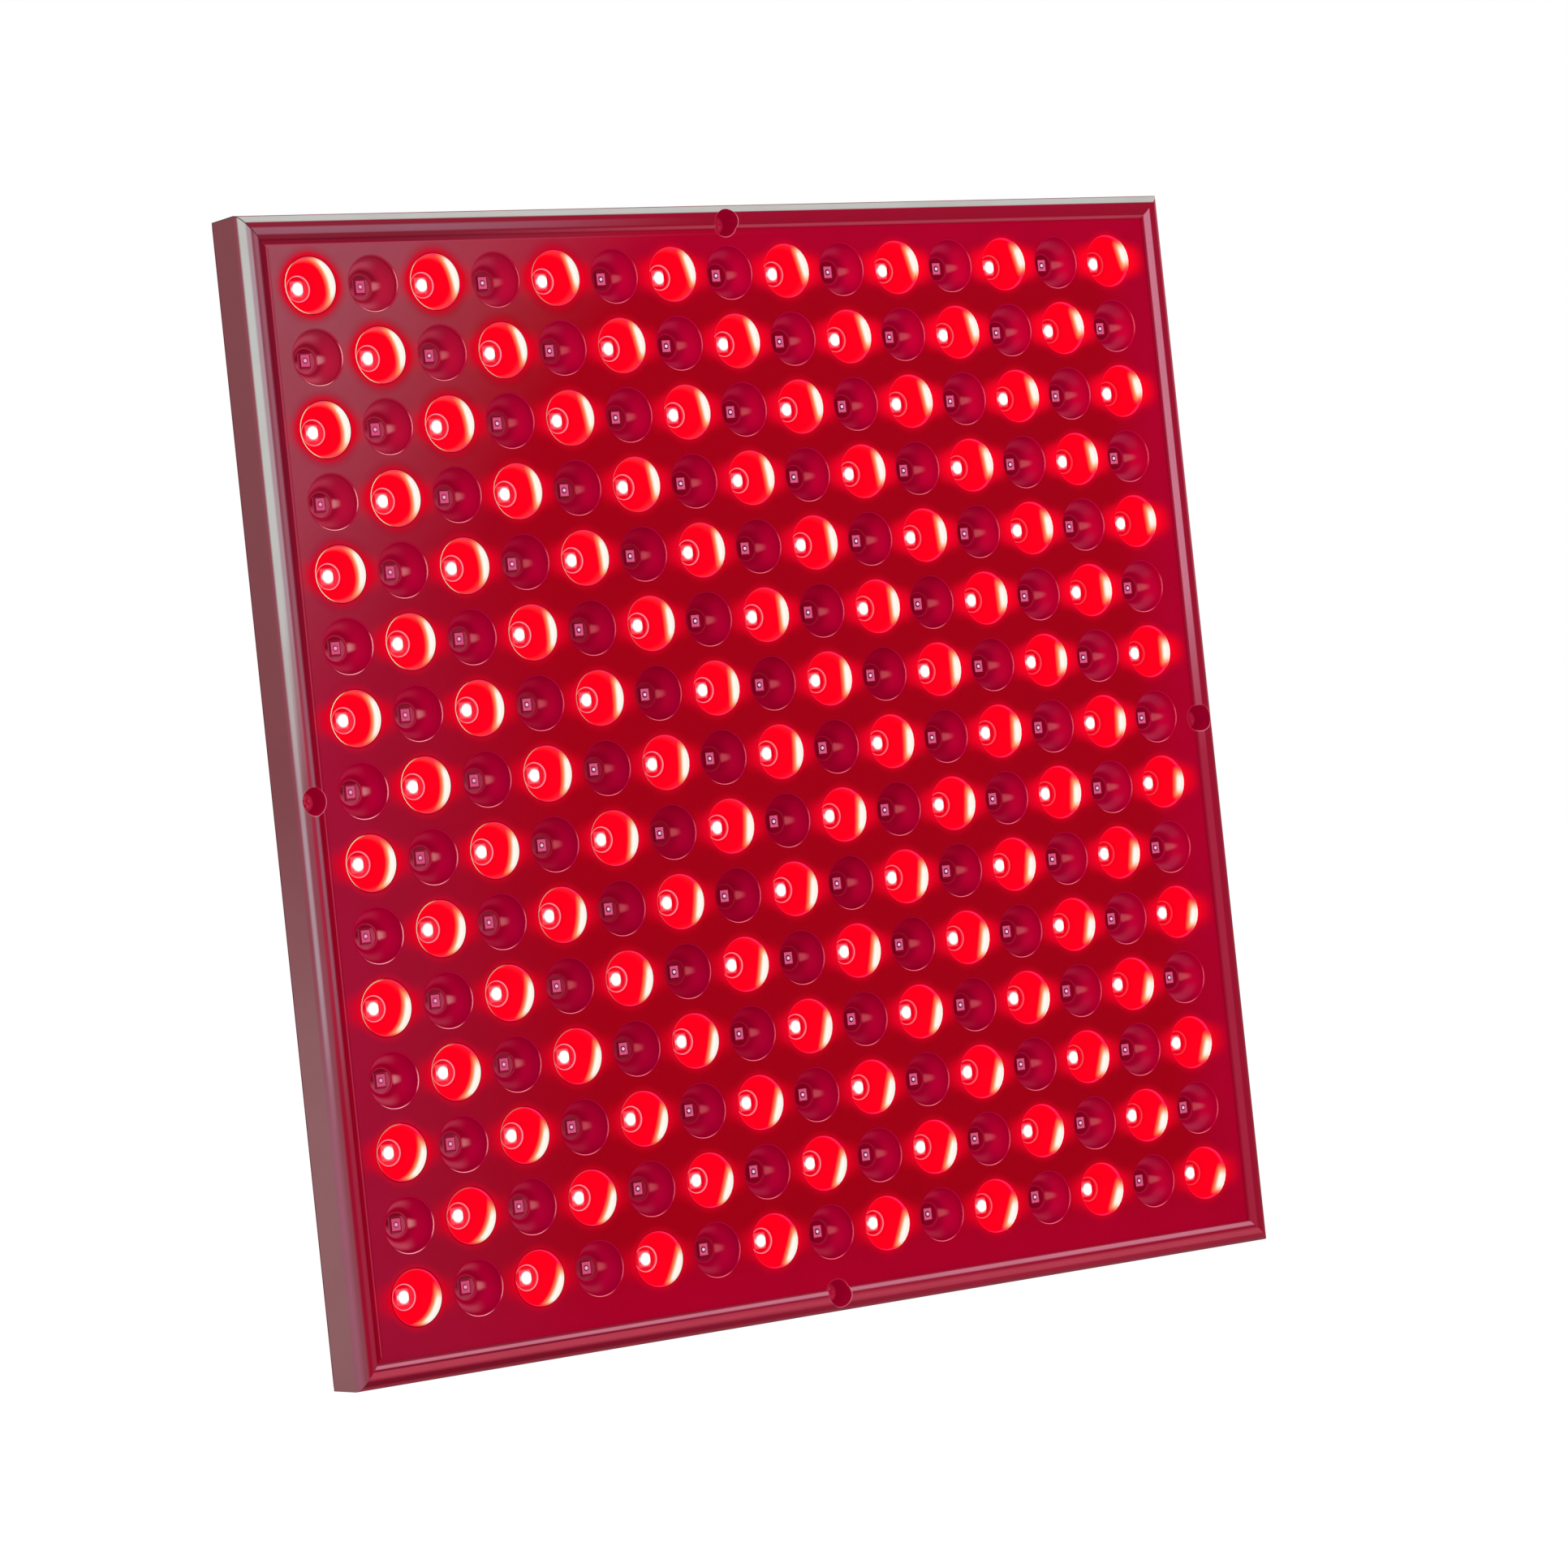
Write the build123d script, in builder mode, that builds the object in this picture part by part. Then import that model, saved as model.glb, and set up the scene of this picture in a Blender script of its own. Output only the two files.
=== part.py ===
from build123d import *
import math
import os

# Red light therapy panel, standing upright on its lower edge. Millimetres, +X right, +Y to the back, +Z up.
# The origin is at the bottom centre of the whole panel, driver box included, and the lamps face -Y.

# Outer size of the flat panel, and how far the driver box stands out behind it
panel_width = 310.0
panel_height = 310.0
panel_depth = 15.0
driver_rise = 20.0

# Grid of lamps: every second one is red, the others are infrared. It holds as many as the panel has room for
led_pitch = 19.2
grid_margin = 10.0
grid_lift = 1.6

# Frame bar: a mitred extrusion with a rounded rim in front and a flange at the back
frame_wall = 1.2
rim_width = 6.4
rim_rise = 1.3
rim_round = 2.5
rim_crown = 1.1
rim_lip = 0.4
flange_thickness = 1.2

# Corner keys, slid into the bars behind the lamp board
key_arm = 26.0
key_width = 5.4
key_thickness = 1.9
key_gap = 0.1

# Reflector: a slab with one tapering cup for each lamp
cup_mouth_radius = 7.4
throat_play = 1.2
reflector_gap = 0.6
cup_sides = 8
throat_sides = 4

# Screw pockets at the middle of each edge, shared by the rim and the reflector
pocket_inset = 5.1
pocket_radius = 3.7
pocket_floor = 1.8
pocket_sides = 12

# Lamp board and its lamps
board_thickness = 1.6
board_gap = 0.5
led_width = 3.2
led_length = 4.2
led_height = 0.8

# Screws: metric sizes, with the play of a shank in a clearance hole
front_screw_radius = 1.5
front_head_radius = 2.7
front_head_height = 1.9
front_head_chamfer = 0.8
small_screw_radius = 1.2
small_head_radius = 2.4
small_head_height = 1.3
small_head_chamfer = 0.5
screw_play = 0.15
screw_tip_gap = 0.3
post_radius = 2.9
post_length = 2.2
post_bore_radius = 1.6

# Rear cover: a flat sheet set in a little from the frame's outline
cover_thickness = 1.0
cover_inset = 0.4
cover_screw_reach = 0.8
cover_screw_spacing = 176.0
slot_length = 34.0
slot_width = 3.0
slot_pitch = 9.0
slots_in_group = 6
slot_gap = 3.0

# Threaded hanging nuts near the corners
hanging_inset = 25.0
hanging_bore_radius = 1.65
hanging_barrel_radius = 3.0
hanging_tip_gap = 1.0
hanging_flange_radius = 4.8
hanging_flange_height = 0.8
hanging_play = 0.1

# Driver box: a moulded cover over the power supply, open towards the rear cover
driver_length = 150.0
driver_width = 80.0
driver_wall = 2.0
driver_corner = 5.0
driver_edge_chamfer = 1.2
lug_reach = 9.0
lug_width = 11.0
lug_thickness = 2.4
lug_chamfer = 2.4
box_inner_chamfer = 2.0
lug_spacing_share = 0.6
box_slot_margin = 4.0
box_slot_width = 2.2
box_slot_pitch = 9.0
box_slots = 6

# Power inlet for a two-pin lead and rocker switch, on the driver box's left end
end_spacing_share = 0.5
inlet_flange_length = 23.0
inlet_flange_width = 13.0
inlet_flange_thickness = 1.5
inlet_body_length = 20.0
inlet_body_width = 10.6
inlet_body_depth = 14.0
inlet_cavity_length = 16.3
inlet_cavity_width = 7.8
inlet_cavity_depth = 11.0
inlet_cavity_chamfer = 2.3
inlet_pin_spacing = 8.6
inlet_pin_radius = 1.2
inlet_pin_length = 9.0
panel_play = 0.1

# Rocker switch above the inlet
switch_flange_length = 16.6
switch_flange_width = 11.6
switch_flange_thickness = 1.5
switch_body_length = 14.4
switch_body_width = 9.6
switch_body_depth = 10.0
switch_well_depth = 5.5
rocker_length = 10.8
rocker_width = 6.4
rocker_rise = 2.9
rocker_dip = 1.7
rocker_skirt = 1.5
rocker_toe = 3.6
rocker_toe_share = 0.35
rocker_play_end = 0.6
rocker_play_side = 0.3
rocker_tilt = 12.0
pivot_height = 0.2
pivot_radius = 1.0
pivot_length = 0.8
pivot_play = 0.05

# Power supply board inside the driver box
sheet_thickness = 0.5
sheet_margin = 2.0
standoff_height = 3.0
standoff_radius = 2.2
standoff_inset = 5.0
supply_inlet_gap = 9.0
supply_end_gap = 13.0
supply_side_gap = 8.0
supply_thickness = 1.6
component_gap = 1.9
transformer_length = 22.0
transformer_width = 19.0
transformer_core_length = 9.0
transformer_core_overhang = 2.5
capacitor_radius = 5.0
heat_sink_length = 26.0
heat_sink_height = 10.0
heat_sink_thickness = 1.5
heat_sink_foot = 6.0

# Leads inside the panel
lead_size = 1.6
lead_bend = 2.4
lead_landing = 4.0
twin_width = 3.0
twin_thickness = 1.4
twin_bend = 1.8
connector_length = 10.0
connector_width = 6.0
connector_gap = 0.5
grommet_gap = 6.0
grommet_neck_length = 3.6
grommet_neck_width = 5.2
grommet_lip = 1.0
grommet_lip_thickness = 0.7
grommet_play = 0.1

# Places worked out from the sizes above
overrun = 1.0
led_columns = int((panel_width - 2 * grid_margin) // led_pitch)
led_rows = int((panel_height - 2 * grid_margin) // led_pitch)
flange_width = pocket_inset + post_radius
cover_screw_inset = (frame_wall + flange_width) / 2
cup_throat_radius = led_length / 2 + throat_play
cup_depth = panel_depth - rim_rise - board_thickness - post_length - flange_thickness - cover_thickness
front_y = -(panel_depth + driver_rise) / 2
face_y = front_y + rim_rise
board_front_y = face_y + cup_depth
board_rear_y = board_front_y + board_thickness
cover_rear_y = front_y + panel_depth
cover_front_y = cover_rear_y - cover_thickness
flange_front_y = cover_front_y - flange_thickness
bar_depth = panel_depth - cover_thickness
middle_z = panel_height / 2
reflector_inset = frame_wall + reflector_gap
board_inset = reflector_inset + board_gap
pocket_spots = [
    (0, panel_height / 2 - pocket_inset),
    (0, pocket_inset - panel_height / 2),
    (panel_width / 2 - pocket_inset, 0),
    (pocket_inset - panel_width / 2, 0),
]

os.makedirs("parts", exist_ok=True)


def facing_back(y):
    """A plane across the panel at depth y, with its own x to the left and its normal to the back."""
    return Plane(origin=(0, y, middle_z), x_dir=(-1, 0, 0), z_dir=(0, 1, 0))


def save(piece, label):
    """Names a finished piece and writes it."""
    piece.part.label = label
    export_step(piece.part, f"parts/{label}.step")


# The four frame bars. Each is drawn once as a profile, with x inward from the outer face and y to the back
cover_screw_spots = [
    (across * cover_screw_spacing / 2, up * (panel_height / 2 - cover_screw_inset))
    for across in (-1, 1)
    for up in (-1, 1)
] + [
    (across * (panel_width / 2 - cover_screw_inset), up * cover_screw_spacing / 2)
    for across in (-1, 1)
    for up in (-1, 1)
]


def make_bar(inward, length, reach):
    """One mitred bar of the frame, whose outer face lies reach from the panel's middle."""
    run = inward.cross(Vector(0, 1, 0))
    start = Vector(0, front_y, middle_z) - inward * reach - run * (length / 2)
    profile = Plane(origin=start, x_dir=inward, z_dir=run)
    crown_end = rim_round + rim_crown
    with BuildPart() as bar:
        with BuildSketch(profile):
            with BuildLine():
                Line((0, bar_depth), (0, rim_round))
                CenterArc((rim_round, rim_round), rim_round, 180, 90)
                Line((rim_round, 0), (crown_end, 0))
                TangentArc((crown_end, 0), (rim_width, rim_rise - rim_lip), tangent=(1, 0))
                Polyline(
                    (rim_width, rim_rise - rim_lip),
                    (rim_width, rim_rise),
                    (frame_wall, rim_rise),
                    (frame_wall, bar_depth - flange_thickness),
                    (flange_width, bar_depth - flange_thickness),
                    (flange_width, bar_depth),
                    (0, bar_depth),
                )
            make_face()
        extrude(amount=length)
        split(bisect_by=Plane(origin=start, z_dir=run - inward), keep=Keep.TOP)
        split(bisect_by=Plane(origin=start + run * length, z_dir=-run - inward), keep=Keep.TOP)
        with BuildSketch(facing_back(front_y - overrun)):
            with Locations(*pocket_spots):
                RegularPolygon(pocket_radius, pocket_sides)
        extrude(amount=overrun + rim_rise, mode=Mode.SUBTRACT)
        with BuildSketch(facing_back(flange_front_y - overrun)):
            with Locations(*cover_screw_spots):
                RegularPolygon(small_screw_radius + screw_play, 6)
        extrude(amount=flange_thickness + 2 * overrun, mode=Mode.SUBTRACT)
    return bar


for label, inward, length, reach in (
    ("frame_bottom", Vector(0, 0, 1), panel_width, panel_height / 2),
    ("frame_top", Vector(0, 0, -1), panel_width, panel_height / 2),
    ("frame_left", Vector(1, 0, 0), panel_height, panel_width / 2),
    ("frame_right", Vector(-1, 0, 0), panel_height, panel_width / 2),
):
    save(make_bar(inward, length, reach), label)

# Corner keys: flat angles that lie on the flanges and join the bars
key_corner_x = panel_width / 2 - frame_wall - key_gap
key_corner_z = panel_height / 2 - frame_wall - key_gap
with BuildPart() as corner_keys:
    with BuildSketch(facing_back(flange_front_y - key_thickness)):
        for across in (-1, 1):
            for up in (-1, 1):
                corner = Vector(across * key_corner_x, up * key_corner_z)
                with BuildLine():
                    Polyline(
                        corner,
                        corner - Vector(across * key_arm, 0),
                        corner - Vector(across * key_arm, up * key_width),
                        corner - Vector(across * key_width, up * key_width),
                        corner - Vector(across * key_width, up * key_arm),
                        corner - Vector(0, up * key_arm),
                        close=True,
                    )
                make_face()
    extrude(amount=key_thickness)
save(corner_keys, "corner_keys")

# Reflector. A cup has an eight-sided mouth and a square throat round its lamp: every second face leans so little
# that it ends in a point, at a corner of the throat.
grid_plane = Plane(origin=(0, face_y, middle_z + grid_lift), x_dir=(-1, 0, 0), z_dir=(0, 1, 0))
with BuildPart() as cup:
    with BuildSketch(Plane.XY.offset(-overrun)):
        Circle(2 * cup_mouth_radius)
    extrude(amount=cup_depth + 2 * overrun)
    for step in range(cup_sides):
        turn = 360 / cup_sides * step
        half_side = 180 / throat_sides
        from_corner = turn % (2 * half_side) - half_side
        throat_share = math.cos(math.radians(from_corner)) / math.cos(math.radians(half_side))
        drop = cup_mouth_radius - cup_throat_radius * throat_share
        out = Vector(math.cos(math.radians(turn)), math.sin(math.radians(turn)))
        lean = Vector(0, 0, -drop) - out * cup_depth
        split(bisect_by=Plane(origin=out * cup_mouth_radius, z_dir=lean), keep=Keep.TOP)

reflector_width = panel_width - 2 * reflector_inset
reflector_height = panel_height - 2 * reflector_inset
with BuildPart() as reflector_panel:
    with BuildSketch(facing_back(face_y)):
        Rectangle(reflector_width, reflector_height)
        with Locations(*pocket_spots):
            RegularPolygon(pocket_radius, pocket_sides, mode=Mode.SUBTRACT)
    extrude(amount=cup_depth - pocket_floor)
    with BuildSketch(facing_back(board_front_y - pocket_floor)):
        Rectangle(reflector_width, reflector_height)
        with Locations(*pocket_spots):
            RegularPolygon(front_screw_radius + screw_play, 6, mode=Mode.SUBTRACT)
    extrude(amount=pocket_floor)
    with Locations(grid_plane):
        with GridLocations(led_pitch, led_pitch, led_columns, led_rows):
            add(cup.part, mode=Mode.SUBTRACT)
save(reflector_panel, "reflector_panel")

# Lamp board, an aluminium sheet, with its connector on the back
with BuildPart() as led_board:
    with BuildSketch(facing_back(board_front_y)):
        Rectangle(panel_width - 2 * board_inset, panel_height - 2 * board_inset)
        with Locations(*pocket_spots):
            RegularPolygon(front_screw_radius + screw_play, 6, mode=Mode.SUBTRACT)
    extrude(amount=board_thickness)
save(led_board, "led_board")

connector_height = post_length + flange_thickness - grommet_lip_thickness - connector_gap
grommet_place = driver_length / 2 - driver_wall - supply_end_gap + grommet_gap
with BuildPart() as led_connector:
    with BuildSketch(facing_back(board_rear_y)):
        with Locations((-grommet_place, 0)):
            Rectangle(connector_length, connector_width)
    extrude(amount=connector_height)
save(led_connector, "led_connector")

# Lamp packages, one in each throat, red and infrared ones in turn like the squares of a chess board
for label, remainder in (("red_leds", 0), ("infrared_leds", 1)):
    spots = [
        ((column - (led_columns - 1) / 2) * led_pitch, (row - (led_rows - 1) / 2) * led_pitch)
        for column in range(led_columns)
        for row in range(led_rows)
        if (column + row) % 2 == remainder
    ]
    with BuildPart() as leds:
        with BuildSketch(grid_plane.offset(cup_depth - led_height)):
            with Locations(*spots):
                Rectangle(led_width, led_length)
        extrude(amount=led_height)
    save(leds, label)

# Front screws in their pockets, and the threaded posts on the flanges that they bite into
pocket_floor_y = board_front_y - pocket_floor
shank_length = pocket_floor + board_thickness + post_length - screw_tip_gap
with BuildPart() as front_screws:
    with BuildSketch(facing_back(pocket_floor_y - front_head_height)):
        with Locations(*pocket_spots):
            RegularPolygon(front_head_radius, 8)
    extrude(amount=front_head_height)
    chamfer(front_screws.faces().filter_by(Axis.Y).group_by(Axis.Y)[0].edges(), front_head_chamfer)
    with BuildSketch(facing_back(pocket_floor_y)):
        with Locations(*pocket_spots):
            RegularPolygon(front_screw_radius, 6)
    extrude(amount=shank_length)
save(front_screws, "front_screws")

with BuildPart() as screw_posts:
    with BuildSketch(facing_back(board_rear_y)):
        with Locations(*pocket_spots):
            RegularPolygon(post_radius, 6)
            RegularPolygon(post_bore_radius, 6, mode=Mode.SUBTRACT)
    extrude(amount=post_length)
save(screw_posts, "screw_posts")

# Rear cover with its vent slots and the holes for everything that passes through it
hanging_spots = [
    (across * (panel_width / 2 - hanging_inset), up * (panel_height / 2 - hanging_inset))
    for across in (-1, 1)
    for up in (-1, 1)
]
slot_group_x = driver_length / 2 + lug_reach + slot_gap + slot_length / 2
lug_spots = [
    (across * (driver_length + lug_reach) / 2, up * driver_width * lug_spacing_share / 2)
    for across in (-1, 1)
    for up in (-1, 1)
]
with BuildPart() as rear_cover:
    with BuildSketch(facing_back(cover_front_y)):
        Rectangle(panel_width - 2 * cover_inset, panel_height - 2 * cover_inset)
        with Locations((-slot_group_x, 0), (slot_group_x, 0)):
            with GridLocations(slot_length, slot_pitch, 1, slots_in_group):
                Rectangle(slot_length, slot_width, mode=Mode.SUBTRACT)
        with Locations(*hanging_spots):
            RegularPolygon(hanging_barrel_radius + hanging_play, 6, mode=Mode.SUBTRACT)
        with Locations(*cover_screw_spots, *lug_spots):
            RegularPolygon(small_screw_radius + screw_play, 6, mode=Mode.SUBTRACT)
        with Locations((-grommet_place, 0)):
            Rectangle(
                grommet_neck_length + 2 * grommet_play,
                grommet_neck_width + 2 * grommet_play,
                mode=Mode.SUBTRACT,
            )
    extrude(amount=cover_thickness)
save(rear_cover, "rear_cover")


def make_small_screws(spots, seat_y, shank):
    """Pan-head screws, driven in from the back onto a seat at depth seat_y."""
    with BuildPart() as screws:
        with BuildSketch(facing_back(seat_y)):
            with Locations(*spots):
                RegularPolygon(small_head_radius, 6)
        extrude(amount=small_head_height)
        chamfer(screws.faces().filter_by(Axis.Y).group_by(Axis.Y)[-1].edges(), small_head_chamfer)
        with BuildSketch(facing_back(seat_y)):
            with Locations(*spots):
                RegularPolygon(small_screw_radius, 6)
        extrude(amount=-shank)
    return screws


cover_screw_length = cover_thickness + flange_thickness + cover_screw_reach
save(make_small_screws(cover_screw_spots, cover_rear_y, cover_screw_length), "cover_screws")

# Hanging nuts: a round thread in a barrel, with a flange on the back of the cover
hanging_barrel_length = cover_thickness + flange_thickness + post_length - hanging_tip_gap
with BuildPart() as hanging_nuts:
    with BuildSketch(facing_back(cover_rear_y)):
        with Locations(*hanging_spots):
            RegularPolygon(hanging_flange_radius, 6)
    extrude(amount=hanging_flange_height)
    with BuildSketch(facing_back(cover_rear_y)):
        with Locations(*hanging_spots):
            RegularPolygon(hanging_barrel_radius, 6)
    extrude(amount=-hanging_barrel_length)
    with BuildSketch(facing_back(cover_rear_y - hanging_barrel_length)):
        with Locations(*hanging_spots):
            Circle(hanging_bore_radius)
    extrude(amount=hanging_barrel_length + hanging_flange_height, mode=Mode.SUBTRACT)
save(hanging_nuts, "hanging_nuts")

# Driver box: a rounded tray with four lugs, vents above and below, and two cut-outs in its left end
box_end_x = -driver_length / 2
box_middle_y = cover_rear_y + driver_rise / 2
box_slot_length = driver_rise - 2 * box_slot_margin
end_plane = Plane(origin=(box_end_x, box_middle_y, middle_z), x_dir=(0, 0, 1), z_dir=(-1, 0, 0))
inlet_drop = driver_width / 2 * end_spacing_share
switch_lift = driver_width / 2 * end_spacing_share
with BuildPart() as driver_box:
    with BuildSketch(facing_back(cover_rear_y)):
        RectangleRounded(driver_length, driver_width, driver_corner)
    extrude(amount=driver_rise)
    chamfer(driver_box.faces().sort_by(Axis.Y)[-1].edges(), driver_edge_chamfer)
    with BuildSketch(facing_back(cover_rear_y)):
        with Locations(*[(0, up * driver_width * lug_spacing_share / 2) for up in (-1, 1)]):
            lugs = Rectangle(driver_length + 2 * lug_reach, lug_width)
        chamfer(lugs.vertices(), lug_chamfer)
    extrude(amount=lug_thickness)
    with BuildSketch(facing_back(cover_rear_y)):
        hollow = Rectangle(driver_length - 2 * driver_wall, driver_width - 2 * driver_wall)
        chamfer(hollow.vertices(), box_inner_chamfer)
    extrude(amount=driver_rise - driver_wall, mode=Mode.SUBTRACT)
    with BuildSketch(facing_back(cover_rear_y)):
        with Locations(*lug_spots):
            RegularPolygon(small_screw_radius + screw_play, 6)
    extrude(amount=lug_thickness, mode=Mode.SUBTRACT)
    with BuildSketch(Plane.XY.offset(middle_z - driver_width / 2 - overrun)):
        with Locations((0, box_middle_y)):
            with GridLocations(box_slot_pitch, box_slot_length, box_slots, 1):
                Rectangle(box_slot_width, box_slot_length)
    extrude(amount=driver_width + 2 * overrun, mode=Mode.SUBTRACT)
    with BuildSketch(end_plane.offset(overrun)):
        with Locations((-inlet_drop, 0)):
            Rectangle(inlet_body_length + 2 * panel_play, inlet_body_width + 2 * panel_play)
        with Locations((switch_lift, 0)):
            Rectangle(switch_body_length + 2 * panel_play, switch_body_width + 2 * panel_play)
    extrude(amount=-driver_wall - 2 * overrun, mode=Mode.SUBTRACT)
save(driver_box, "driver_box")

box_screw_length = lug_thickness + cover_thickness + cover_screw_reach
lug_screws = make_small_screws(lug_spots, cover_rear_y + lug_thickness, box_screw_length)
save(lug_screws, "driver_box_screws")

# Power inlet: a snap-in socket with two pins in its well
inlet_plane = end_plane.shift_origin(end_plane.from_local_coords((-inlet_drop, 0)))
with BuildPart() as power_inlet:
    with BuildSketch(inlet_plane):
        Rectangle(inlet_body_length, inlet_body_width)
    extrude(amount=-inlet_body_depth)
    with BuildSketch(inlet_plane):
        Rectangle(inlet_flange_length, inlet_flange_width)
    extrude(amount=inlet_flange_thickness)
    with BuildSketch(inlet_plane.offset(inlet_flange_thickness)):
        well = Rectangle(inlet_cavity_length, inlet_cavity_width)
        chamfer(well.vertices(), inlet_cavity_chamfer)
    extrude(amount=-inlet_cavity_depth, mode=Mode.SUBTRACT)
save(power_inlet, "power_inlet")

with BuildPart() as inlet_pins:
    with BuildSketch(inlet_plane.offset(inlet_flange_thickness - inlet_cavity_depth)):
        with GridLocations(inlet_pin_spacing, inlet_pin_spacing, 2, 1):
            RegularPolygon(inlet_pin_radius, 8)
    extrude(amount=inlet_pin_length)
save(inlet_pins, "inlet_pins")

# Rocker switch. Its plane has x up, y across the box and its normal out of the box's left end
switch_plane = end_plane.shift_origin(end_plane.from_local_coords((switch_lift, 0)))
pivot_plane = switch_plane.offset(pivot_height)
well_length = rocker_length + 2 * rocker_play_end
well_width = rocker_width + 2 * rocker_play_side
well_floor = switch_flange_thickness - switch_well_depth
with BuildPart() as switch_housing:
    with BuildSketch(switch_plane):
        Rectangle(switch_body_length, switch_body_width)
    extrude(amount=-switch_body_depth)
    with BuildSketch(switch_plane):
        Rectangle(switch_flange_length, switch_flange_width)
    extrude(amount=switch_flange_thickness)
    with BuildSketch(switch_plane.offset(well_floor)):
        Rectangle(well_length, well_width)
    extrude(amount=switch_well_depth, mode=Mode.SUBTRACT)
    with BuildSketch(Plane(origin=pivot_plane.origin, x_dir=pivot_plane.x_dir, z_dir=pivot_plane.y_dir)):
        Circle(pivot_radius + pivot_play)
    extrude(amount=rocker_width / 2 + pivot_length + pivot_play, both=True, mode=Mode.SUBTRACT)
save(switch_housing, "switch_housing")

# The rocker rests in its on position, tilted about its pivot, and swings through twice the tilt to off
half_rocker = rocker_length / 2
toe = half_rocker * rocker_toe_share
tilt_angle = math.radians(rocker_tilt)
along_rocker = pivot_plane.x_dir * math.cos(tilt_angle) - pivot_plane.z_dir * math.sin(tilt_angle)
rocker_side = Plane(origin=pivot_plane.origin, x_dir=along_rocker, z_dir=pivot_plane.y_dir)
with BuildPart() as switch_rocker:
    with BuildSketch(rocker_side):
        Polygon(
            (-half_rocker, -rocker_rise),
            (0, -rocker_dip),
            (half_rocker, -rocker_rise),
            (half_rocker, rocker_skirt),
            (toe, rocker_toe),
            (-toe, rocker_toe),
            (-half_rocker, rocker_skirt),
            align=None,
        )
    extrude(amount=rocker_width / 2, both=True)
    with BuildSketch(rocker_side):
        Circle(pivot_radius)
    extrude(amount=rocker_width / 2 + pivot_length, both=True)
save(switch_rocker, "switch_rocker")

# Power supply: insulating sheet on the cover, standoffs, board and its main components
sheet_top_y = cover_rear_y + sheet_thickness
supply_low_y = sheet_top_y + standoff_height
supply_top_y = supply_low_y + supply_thickness
component_height = cover_rear_y + driver_rise - driver_wall - supply_top_y - component_gap
supply_left_x = box_end_x + inlet_body_depth + supply_inlet_gap
supply_edge_x = driver_length / 2 - driver_wall - supply_end_gap
supply_length = supply_edge_x - supply_left_x
supply_width = driver_width - 2 * (driver_wall + supply_side_gap)
supply_offset = (supply_edge_x + supply_left_x) / 2


def supply_at(y):
    """A plane over the supply board at depth y, with its own x to the left and its normal to the back."""
    return Plane(origin=(supply_offset, y, middle_z), x_dir=(-1, 0, 0), z_dir=(0, 1, 0))


with BuildPart() as insulating_sheet:
    with BuildSketch(supply_at(cover_rear_y)):
        Rectangle(supply_length + 2 * sheet_margin, supply_width + 2 * sheet_margin)
    extrude(amount=sheet_thickness)
save(insulating_sheet, "insulating_sheet")

standoff_x = supply_length - 2 * standoff_inset
standoff_z = supply_width - 2 * standoff_inset
with BuildPart() as standoffs:
    with BuildSketch(supply_at(sheet_top_y)):
        with GridLocations(standoff_x, standoff_z, 2, 2):
            RegularPolygon(standoff_radius, 6)
    extrude(amount=standoff_height)
save(standoffs, "driver_standoffs")

with BuildPart() as driver_board:
    with BuildSketch(supply_at(supply_low_y)):
        Rectangle(supply_length, supply_width)
    extrude(amount=supply_thickness)
save(driver_board, "driver_board")

with BuildPart() as transformer:
    with BuildSketch(supply_at(supply_top_y)):
        Rectangle(transformer_length, transformer_width)
        Rectangle(transformer_core_length, transformer_width + 2 * transformer_core_overhang)
    extrude(amount=component_height)
save(transformer, "driver_transformer")

capacitor_x = supply_length / 4
capacitor_z = supply_width / 4
with BuildPart() as capacitors:
    with BuildSketch(supply_at(supply_top_y)):
        with Locations((capacitor_x, capacitor_z), (capacitor_x, -capacitor_z), (-capacitor_x, capacitor_z)):
            RegularPolygon(capacitor_radius, 8)
    extrude(amount=component_height)
save(capacitors, "driver_capacitors")

with BuildPart() as heat_sink:
    with BuildSketch(Plane(origin=(supply_offset + capacitor_x, supply_top_y, middle_z - capacitor_z))):
        with BuildLine():
            Polyline(
                (0, 0),
                (heat_sink_foot, 0),
                (heat_sink_foot, heat_sink_thickness),
                (heat_sink_thickness, heat_sink_thickness),
                (heat_sink_thickness, heat_sink_height),
                (0, heat_sink_height),
                close=True,
            )
        make_face()
    extrude(amount=heat_sink_length / 2, both=True)
save(heat_sink, "driver_heat_sink")


def make_lead(*points, width=lead_size, thickness=lead_size, bend=lead_bend):
    """A lead of rectangular section along straight runs joined by tangent arcs."""
    with BuildPart() as lead:
        with BuildLine() as route:
            FilletPolyline(*points, radius=bend)
        first = Vector(*points[1]) - Vector(*points[0])
        last = Vector(*points[-1]) - Vector(*points[-2])
        side = Vector(0, 0, 1) if abs(first.Z) + abs(last.Z) < lead_size else Vector(0, 1, 0)
        with BuildSketch(Plane(origin=route.line @ 0, x_dir=side, z_dir=route.line % 0)):
            Rectangle(width, thickness)
        sweep()
    return lead.part


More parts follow.
